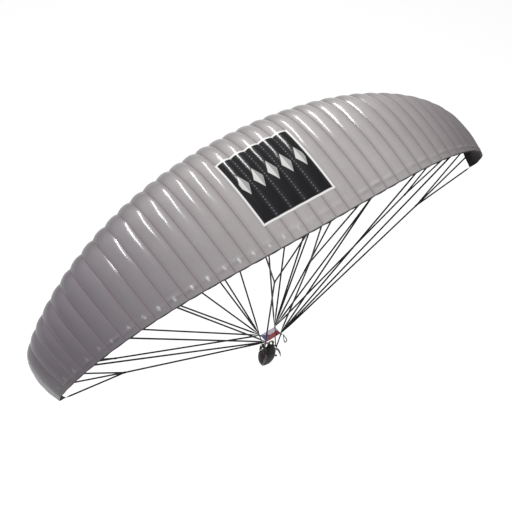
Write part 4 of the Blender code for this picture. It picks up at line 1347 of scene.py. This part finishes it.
def flag():
    """A small flag stretched flat between the tops of the risers."""
    long_steps, deep_steps = FLAG_STEPS
    points, metres = [], []
    for j in range(deep_steps + 1):
        v = j / deep_steps
        for i in range(long_steps + 1):
            u = i / long_steps
            hang = FLAG_SAG * 4 * u * (1 - u) + FLAG_RIPPLE * math.sin(6.0 * u + 2.0 * v)
            hang += 0.0012 * noise.noise(Vector((u * 7, v * 4, 1.5))) * 16 * u * (1 - u) * v * (1 - v) * 2
            y = (FRONT_Y + REAR_Y) / 2 + (v - 0.5) * FLAG_DEPTH
            points.append(rigging_point((u - 0.5) * FLAG_LENGTH, y, RISER_TOP - FLAG_BELOW - hang))
            metres.append((u * FLAG_LENGTH, v * FLAG_DEPTH))
    made = cloth_object("flag_sheet", points, grid_faces(deep_steps + 1, long_steps + 1), metres, "flag_cloth")
    thicken(made, CLOTH, -1)
    settle(made, ["flag"])


def brake_handles():
    for side, hand in SIDES:
        top = rigging_point(side * HANDLE_TOP[0], REAR_Y + HANDLE_TOP[1], RISER_TOP + HANDLE_TOP[2])
        lean = Vector((side * HANDLE_LEAN[0], *HANDLE_LEAN[1:])).normalized()
        out = Vector((side, 0, HANDLE_OUT)).normalized()
        loop = rounded_loop([top + out * across - lean * down for across, down in HANDLE_LOOP])
        stem, thinner = HANDLE_STEM
        radii = [HANDLE_ROD * (1.0 if (point - top).dot(lean) > stem else thinner) for point in loop]
        tubes("brake_loop_" + hand, [(loop, radii)], "handle_braid", ["brake_handle_" + hand],
              closed=True)
        tie = rigging_point(side * (RISER_X + LINK_ROD + 0.0026), REAR_Y, RISER_TOP)
        middle = tie.lerp(top, 0.5) - UPWARD * 0.004
        wraps = [top + lean * 0.004 * i for i in range(-1, 4)]
        routes = [([tie, middle, top], CORD_RADII), (wraps, WRAP_RADII)]
        tubes("brake_cord_" + hand, routes, "line_braid", [])


# Harness

def rounded(value):
    return math.copysign(abs(value) ** POD_BOXINESS, value)


def pod_point(column, level, shrink=0.0):
    """A point of the harness's rounded body. Columns go round it and levels from bottom to top."""
    turn = math.tau * column / POD_AROUND
    climb = math.pi * (level / POD_LEVELS - 0.5)
    wide, deep, tall = (half - shrink for half in POD_HALF)
    flat = abs(math.cos(climb)) ** POD_BOXINESS * (1 - POD_TAPER[climb > 0] * abs(math.sin(climb)))
    return POD_CENTRE + Vector((
        wide * flat * rounded(math.cos(turn)),
        deep * flat * rounded(math.sin(turn)),
        tall * rounded(math.sin(climb)),
    ))


def pod_out(point, distance):
    """The way from the body's middle to the point, that long."""
    return (point - POD_CENTRE).normalized() * distance


def pod_dent(column, level):
    """Padding that swells between its seams and dips at them, with uneven creases."""
    back = 1.0 - min(1.0, abs((column - POD_BACK) / 3.4) ** 6)
    quilt = 0.004 * back * (abs(math.sin(math.pi * (level - 0.6) / 1.15)) ** 0.6 - 1.0)
    crease = 0.0035 * noise.noise(Vector((column * 0.9, level * 2.1, 3.3)))
    return quilt + crease - 0.002


def pod(name, around, levels, shrink=0.0, floor=None, dented=False):
    """The closed rounded body, or one that much smaller with a level floor."""
    points = [pod_point(0, 0, shrink)]
    for level in range(1, levels):
        for column in range(around):
            at = (column * POD_AROUND / around, level * POD_LEVELS / levels)
            point = pod_point(*at, shrink)
            points.append(point + pod_out(point, pod_dent(*at)) if dented else point)
    points.append(pod_point(0, POD_LEVELS, shrink))
    if floor is not None:
        for point in points:
            point.z = max(point.z, floor)
    faces = []
    top = 1 + (levels - 2) * around
    for column in range(around):
        follow = (column + 1) % around
        faces.append((0, 1 + follow, 1 + column))
        for low in range(1, top, around):
            faces.append((low + column, low + follow, low + around + follow, low + around + column))
        faces.append((top + column, top + follow, len(points) - 1))
    mesh = new_mesh(name, points, (), faces)
    outward_faces(mesh)
    return new_object(name, mesh)


def panel_number(face):
    """Which cloth a face of the shell is cut from: 0 side, 1 back, 2 low on the back, 3 inside."""
    spot = face.calc_center_median() - POD_CENTRE
    share = Vector((part / half for part, half in zip(spot, POD_HALF)))
    if face.normal.dot(spot) <= 0 or share.length <= OUTSIDE_SHARE:
        return 3
    if spot.y < BACK_FROM and abs(spot.x) < BACK_HALF:
        return 2 if spot.z < LOW_BACK_TOP else 1
    return 1 if spot.x > 0 else 0


def harness_body(place):
    """The padded shell, cut open in front, its panels in three cloths; gives back its sharp cut edges, where the
    binding goes.
    """
    body = pod("harness_panels", *BODY_GRID, dented=True)
    hollow = pod("hollow", *HOLLOW_GRID, POD_WALL, SEAT_HEIGHT)
    bpy.ops.mesh.primitive_cube_add(size=1)
    opening = bpy.context.object
    opening.data.transform(Matrix.Translation((0, 0.25, 0.45)) @ Matrix.Diagonal((1.0, 0.5, 0.9, 1)))
    opening.data.transform(Matrix.Translation((0, *OPENING_FOOT)) @ Matrix.Rotation(OPENING_LEAN, 4, "X"))
    for cutter in (hollow, opening):
        change = body.modifiers.new("cut_" + cutter.name, "BOOLEAN")
        change.operation = "DIFFERENCE"
        change.solver = "EXACT"
        change.object = cutter
    baked(body)
    for cutter in (hollow, opening):
        bpy.data.objects.remove(cutter)
    mesh = body.data
    mesh.materials.clear()
    for look in ("side_cloth", "back_cloth", "low_cloth", "inner_cloth"):
        mesh.materials.append(finish(look))
    rim = []
    sharp = bmesh.new()
    sharp.from_mesh(mesh)
    for edge in sharp.edges:
        if len(edge.link_faces) == 2 and edge.calc_face_angle(0) > RIM_ANGLE:
            edge.smooth = False
            rim.append([v.co.copy() for v in edge.verts])
    for face in sharp.faces:
        face.smooth = True
        face.material_index = panel_number(face)
    sharp.to_mesh(mesh)
    sharp.free()
    mesh.transform(place)
    settle(body, ["harness_body"], smooth=False)
    return rim


def body_lines(place, rim):
    """Binding round the cut edge, and corded seams down the back corners and across the panels."""
    routes = [(placed(pair, place), [BINDING_RADIUS] * 2) for pair in rim if max(p.y for p in pair) > -0.2]
    tubes("edge_binding", routes, "line_braid", [], 8)
    seams = [[pod_point(column, level / 8) for level in range(5, 68)] for column in SEAM_COLUMNS]
    seams += [[pod_point(11.2 + 7.6 * i / 40, level) for i in range(41)] for level in SEAM_LEVELS]
    routes = [(placed([point + pod_out(point, 0.0005) for point in path], place), [CORDING_RADIUS] * len(path))
              for path in seams]
    tubes("panel_cording", routes, "handle_braid", [], 8)


def strap(name, edges, place, look, replaced, thick=STRAP):
    """A strap through pairs of edge points, smooth between them, with a soft rounded section."""
    edges = [placed(pair, place) for pair in edges]
    steps = (len(edges) - 1) * STRAP_STEPS
    pairs = [[smooth_between(row, i / steps) for row in zip(*edges)] for i in range(steps + 1)]
    section = [(k / STRAP_ACROSS, 1) for k in range(STRAP_ACROSS + 1)]
    section += [(share, -1) for share, _ in section[::-1]]
    rings = []
    for i, (a, b) in enumerate(pairs):
        ahead = pairs[min(i + 1, steps)]
        behind = pairs[max(i - 1, 0)]
        way = (ahead[0] + ahead[1] - behind[0] - behind[1]).normalized()
        high = (b - a).cross(way).normalized() * thick / 2
        rings.append([a.lerp(b, share) + high * face * (0.45 if share in (0, 1) else 1.0) for share, face in section])
    across = [(share - 0.5) * 2 for share, _ in section]
    path = [a.lerp(b, 0.5) for a, b in pairs]
    made = carried(name, path, rings, across, [(b - a).length / 2 for a, b in pairs], look)
    settle(made, [replaced])


def lift_straps(place):
    """The straps from the karabiners to the back corners of the harness, down it and under it."""
    inverse = place.inverted()
    for side, hand in SIDES:
        column = POD_AROUND * (0.75 + side * 0.125) - 0.5
        edges = []
        for level in (5, 4.5, 4, 3.5, 3, 2.5, 2, 1.5, 1):
            near, far = pod_point(column, level), pod_point(column + 1, level)
            off = pod_out(near.lerp(far, 0.5), 0.005)
            edges.append((near.lerp(far, -0.22) + off, far.lerp(near, -0.22) + off))
        bar = inverse @ clip_foot(side)
        corner = edges[0][0].lerp(edges[0][1], 0.5)
        bend = bar.lerp(corner, 0.5) + RIGHTWARD * side * STRAP_BOW
        start = bar.lerp(bend, 0.5)
        half = FORWARD * (side * WEB_WIDTH / 2)
        turned = (half + (edges[0][1] - corner)) / 2
        edges[:0] = [(start - half, start + half), (bend - turned, bend + turned)]
        strap("lift_webbing_" + hand, edges, place, "pink_grey_webbing", "lift_strap_" + hand)
        low = place @ bar.lerp(bend, 0.7)
        loop = webbing("clip_loop_" + hand, clip_foot(side), low, (CLIP_ROD, 0), WEB_WIDTH * 0.96, "pink_grey_webbing")
        settle(loop, [], smooth=False)


def path_edges(path, across, width):
    half = across * width / 2
    return [(spot - half, spot + half) for spot in path]


def facet_point(column, level):
    """A point on the body's flat facets, at shares of the way between its grid points."""
    left, low = math.floor(column), math.floor(level)
    lower, upper = (pod_point(left, row).lerp(pod_point(left + 1, row), column - left) for row in (low, low + 1))
    return lower.lerp(upper, level - low)


def front_straps(place):
    """The shoulder straps, the strap that joins them in front, and the leg straps."""
    above, below = (Vector(SHOULDER_PATH[CHEST_AT + i]) for i in (0, 1))
    along = Vector((0, below.y - above.y, below.z - above.z)).normalized()
    off = RIGHTWARD.cross(along) * -(STRAP + 0.0006)
    spot = above.lerp(below, 0.5) + off
    chest = [Vector((POD_X + spot.x * 1.35 * share, spot.y, spot.z)) for share in (-1, -0.5, 0, 0.5, 1)]
    strap("chest_webbing", path_edges(chest, along, STRAP_WIDTH * 0.6), place, "black_webbing", "chest_strap")
    for side, hand in SIDES:
        edges = []
        for level in (7.0, 7.7):
            pair = [facet_point(POD_BACK + side * (column - POD_BACK), level) for column in SHOULDER_ROOT]
            edges.append([point + pod_out(point, 0.003) for point in pair])
        shoulder, leg = ([Vector((POD_X + side * a, b, c)) for a, b, c in path] for path in (SHOULDER_PATH, LEG_PATH))
        edges += path_edges(shoulder, RIGHTWARD * side, SHOULDER_WIDTH)
        strap("shoulder_webbing_" + hand, edges, place, "olive_webbing", "shoulder_strap_" + hand,
              SHOULDER_PAD)
        edges = path_edges(leg, RIGHTWARD, STRAP_WIDTH * 0.7)
        strap("leg_webbing_" + hand, edges, place, "black_webbing", "leg_strap_" + hand)


def reserve_handle(place):
    """A short stub with a round knob, its shoulder ridged."""
    root = facet_point(*STUB_ROOT)
    knob = [(KNOB_AT + KNOB_RADIUS * math.sin(turn), max(KNOB_RADIUS * math.cos(turn), 0.0004))
            for turn in [math.radians(-75 + 15 * i) for i in range(12)]]
    path, radii = stretch(root, pod_out(root, 1.0), (*STUB_PROFILE, *knob))
    tubes("reserve_knob", [(placed(path, place), radii)], "black_plastic", ["reserve_handle"], 20)


def tail():
    """A loose strap end that hangs in a curve from the right lift strap's eye."""
    reach = (CLIP_ROD + EYE_CLEARANCE + WEB) * 0.94 + STRAP / 2 + 0.0004
    eye = clip_foot(1) + RIGHTWARD * reach
    edges = []
    for i, (out, drop) in enumerate(TAIL_PATH):
        spot = eye + Vector((out, 0.0, drop))
        share = i / (len(TAIL_PATH) - 1)
        turned = Matrix.Rotation(-TAIL_TWIST * share**0.4, 3, "Z") @ FORWARD
        half = turned * TAIL_WIDTH / 2 * (1 - 0.7 * share**3)
        edges.append((spot - half, spot + half))
    strap("loose_webbing", edges, Matrix(), "pink_grey_webbing", "webbing_tail_right")


def seat_board():
    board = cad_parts["seat_board"]
    board.data.materials.clear()
    board.data.materials.append(finish("birch_board"))


# View, light and floor

def lamp(name, kind, bearing, climb, energy):
    """A light that shines from that bearing and height, and the way towards it."""
    data = bpy.data.lights.new(name, kind)
    data.energy = energy
    made = new_object(name, data)
    bearing, climb = math.radians(bearing), math.radians(climb)
    toward = Vector((math.sin(bearing) * math.cos(climb), math.cos(bearing) * math.cos(climb), math.sin(climb)))
    made.rotation_euler = toward.to_track_quat("Z", "Y").to_euler()
    return made, toward


def set_light():
    """A broad key light, and a tall narrow soft one that stands upright and faces the canopy."""
    key, _ = lamp("key", "SUN", **KEY)
    key.data.angle = KEY_SPREAD
    key.visible_glossy = False
    strip, toward = lamp("strip", "AREA", **STRIP)
    strip.data.shape = "RECTANGLE"
    strip.data.size, strip.data.size_y = STRIP_SIZE
    strip.location = toward * STRIP_AWAY


def set_view():
    data = bpy.data.cameras.new("camera")
    data.lens = CAMERA_LENS
    data.sensor_width = 36.0
    data.clip_end = 400.0
    camera = new_object("camera", data)
    back = Vector((math.sin(CAMERA_BEARING) * math.cos(CAMERA_CLIMB),
                   -math.cos(CAMERA_BEARING) * math.cos(CAMERA_CLIMB), math.sin(CAMERA_CLIMB)))
    camera.location = CAMERA_PLACE
    camera.rotation_euler = (-back).to_track_quat("-Z", "Y").to_euler()
    bpy.context.scene.camera = camera


def set_stage():
    bpy.ops.mesh.primitive_plane_add(size=FLOOR_SIZE, location=(0, 0, cad_low.z - FLOOR_BELOW))
    floor = bpy.context.object
    floor.name = "floor"
    floor.data.materials.append(finish("pale_floor"))
    floor.visible_diffuse = False
    world = bpy.data.worlds.new("studio")
    bpy.context.scene.world = world
    world.use_nodes = True
    sky = Graph(world.node_tree)
    seen = sky.get("ShaderNodeLightPath", (), "Is Camera Ray")
    shine = world.node_tree.nodes["Background"].inputs
    sky.feed_all(shine, {"Color": (1.0, 1.0, 1.0, 1),
                         "Strength": sky.math("MULTIPLY_ADD", seen, SKY_SEEN - SKY, SKY)})
    bpy.context.scene.view_settings.view_transform = "Standard"


set_view()
set_stage()
set_light()
upper_sail()
lower_sail()
ribs()
trailing_tape()
for hand_side, hand_name in SIDES:
    tip_fin(hand_side, hand_name)
suspension_lines()
links_and_clips()
risers()
flag()
brake_handles()
harness_place = (Matrix.Translation(rigging_point(CLIP_SHIFT, CLIP_Y, CLIP_Z))
                 @ Matrix.Rotation(HARNESS_ROLL, 4, "Y"))
body_lines(harness_place, harness_body(harness_place))
lift_straps(harness_place)
front_straps(harness_place)
reserve_handle(harness_place)
tail()
seat_board()
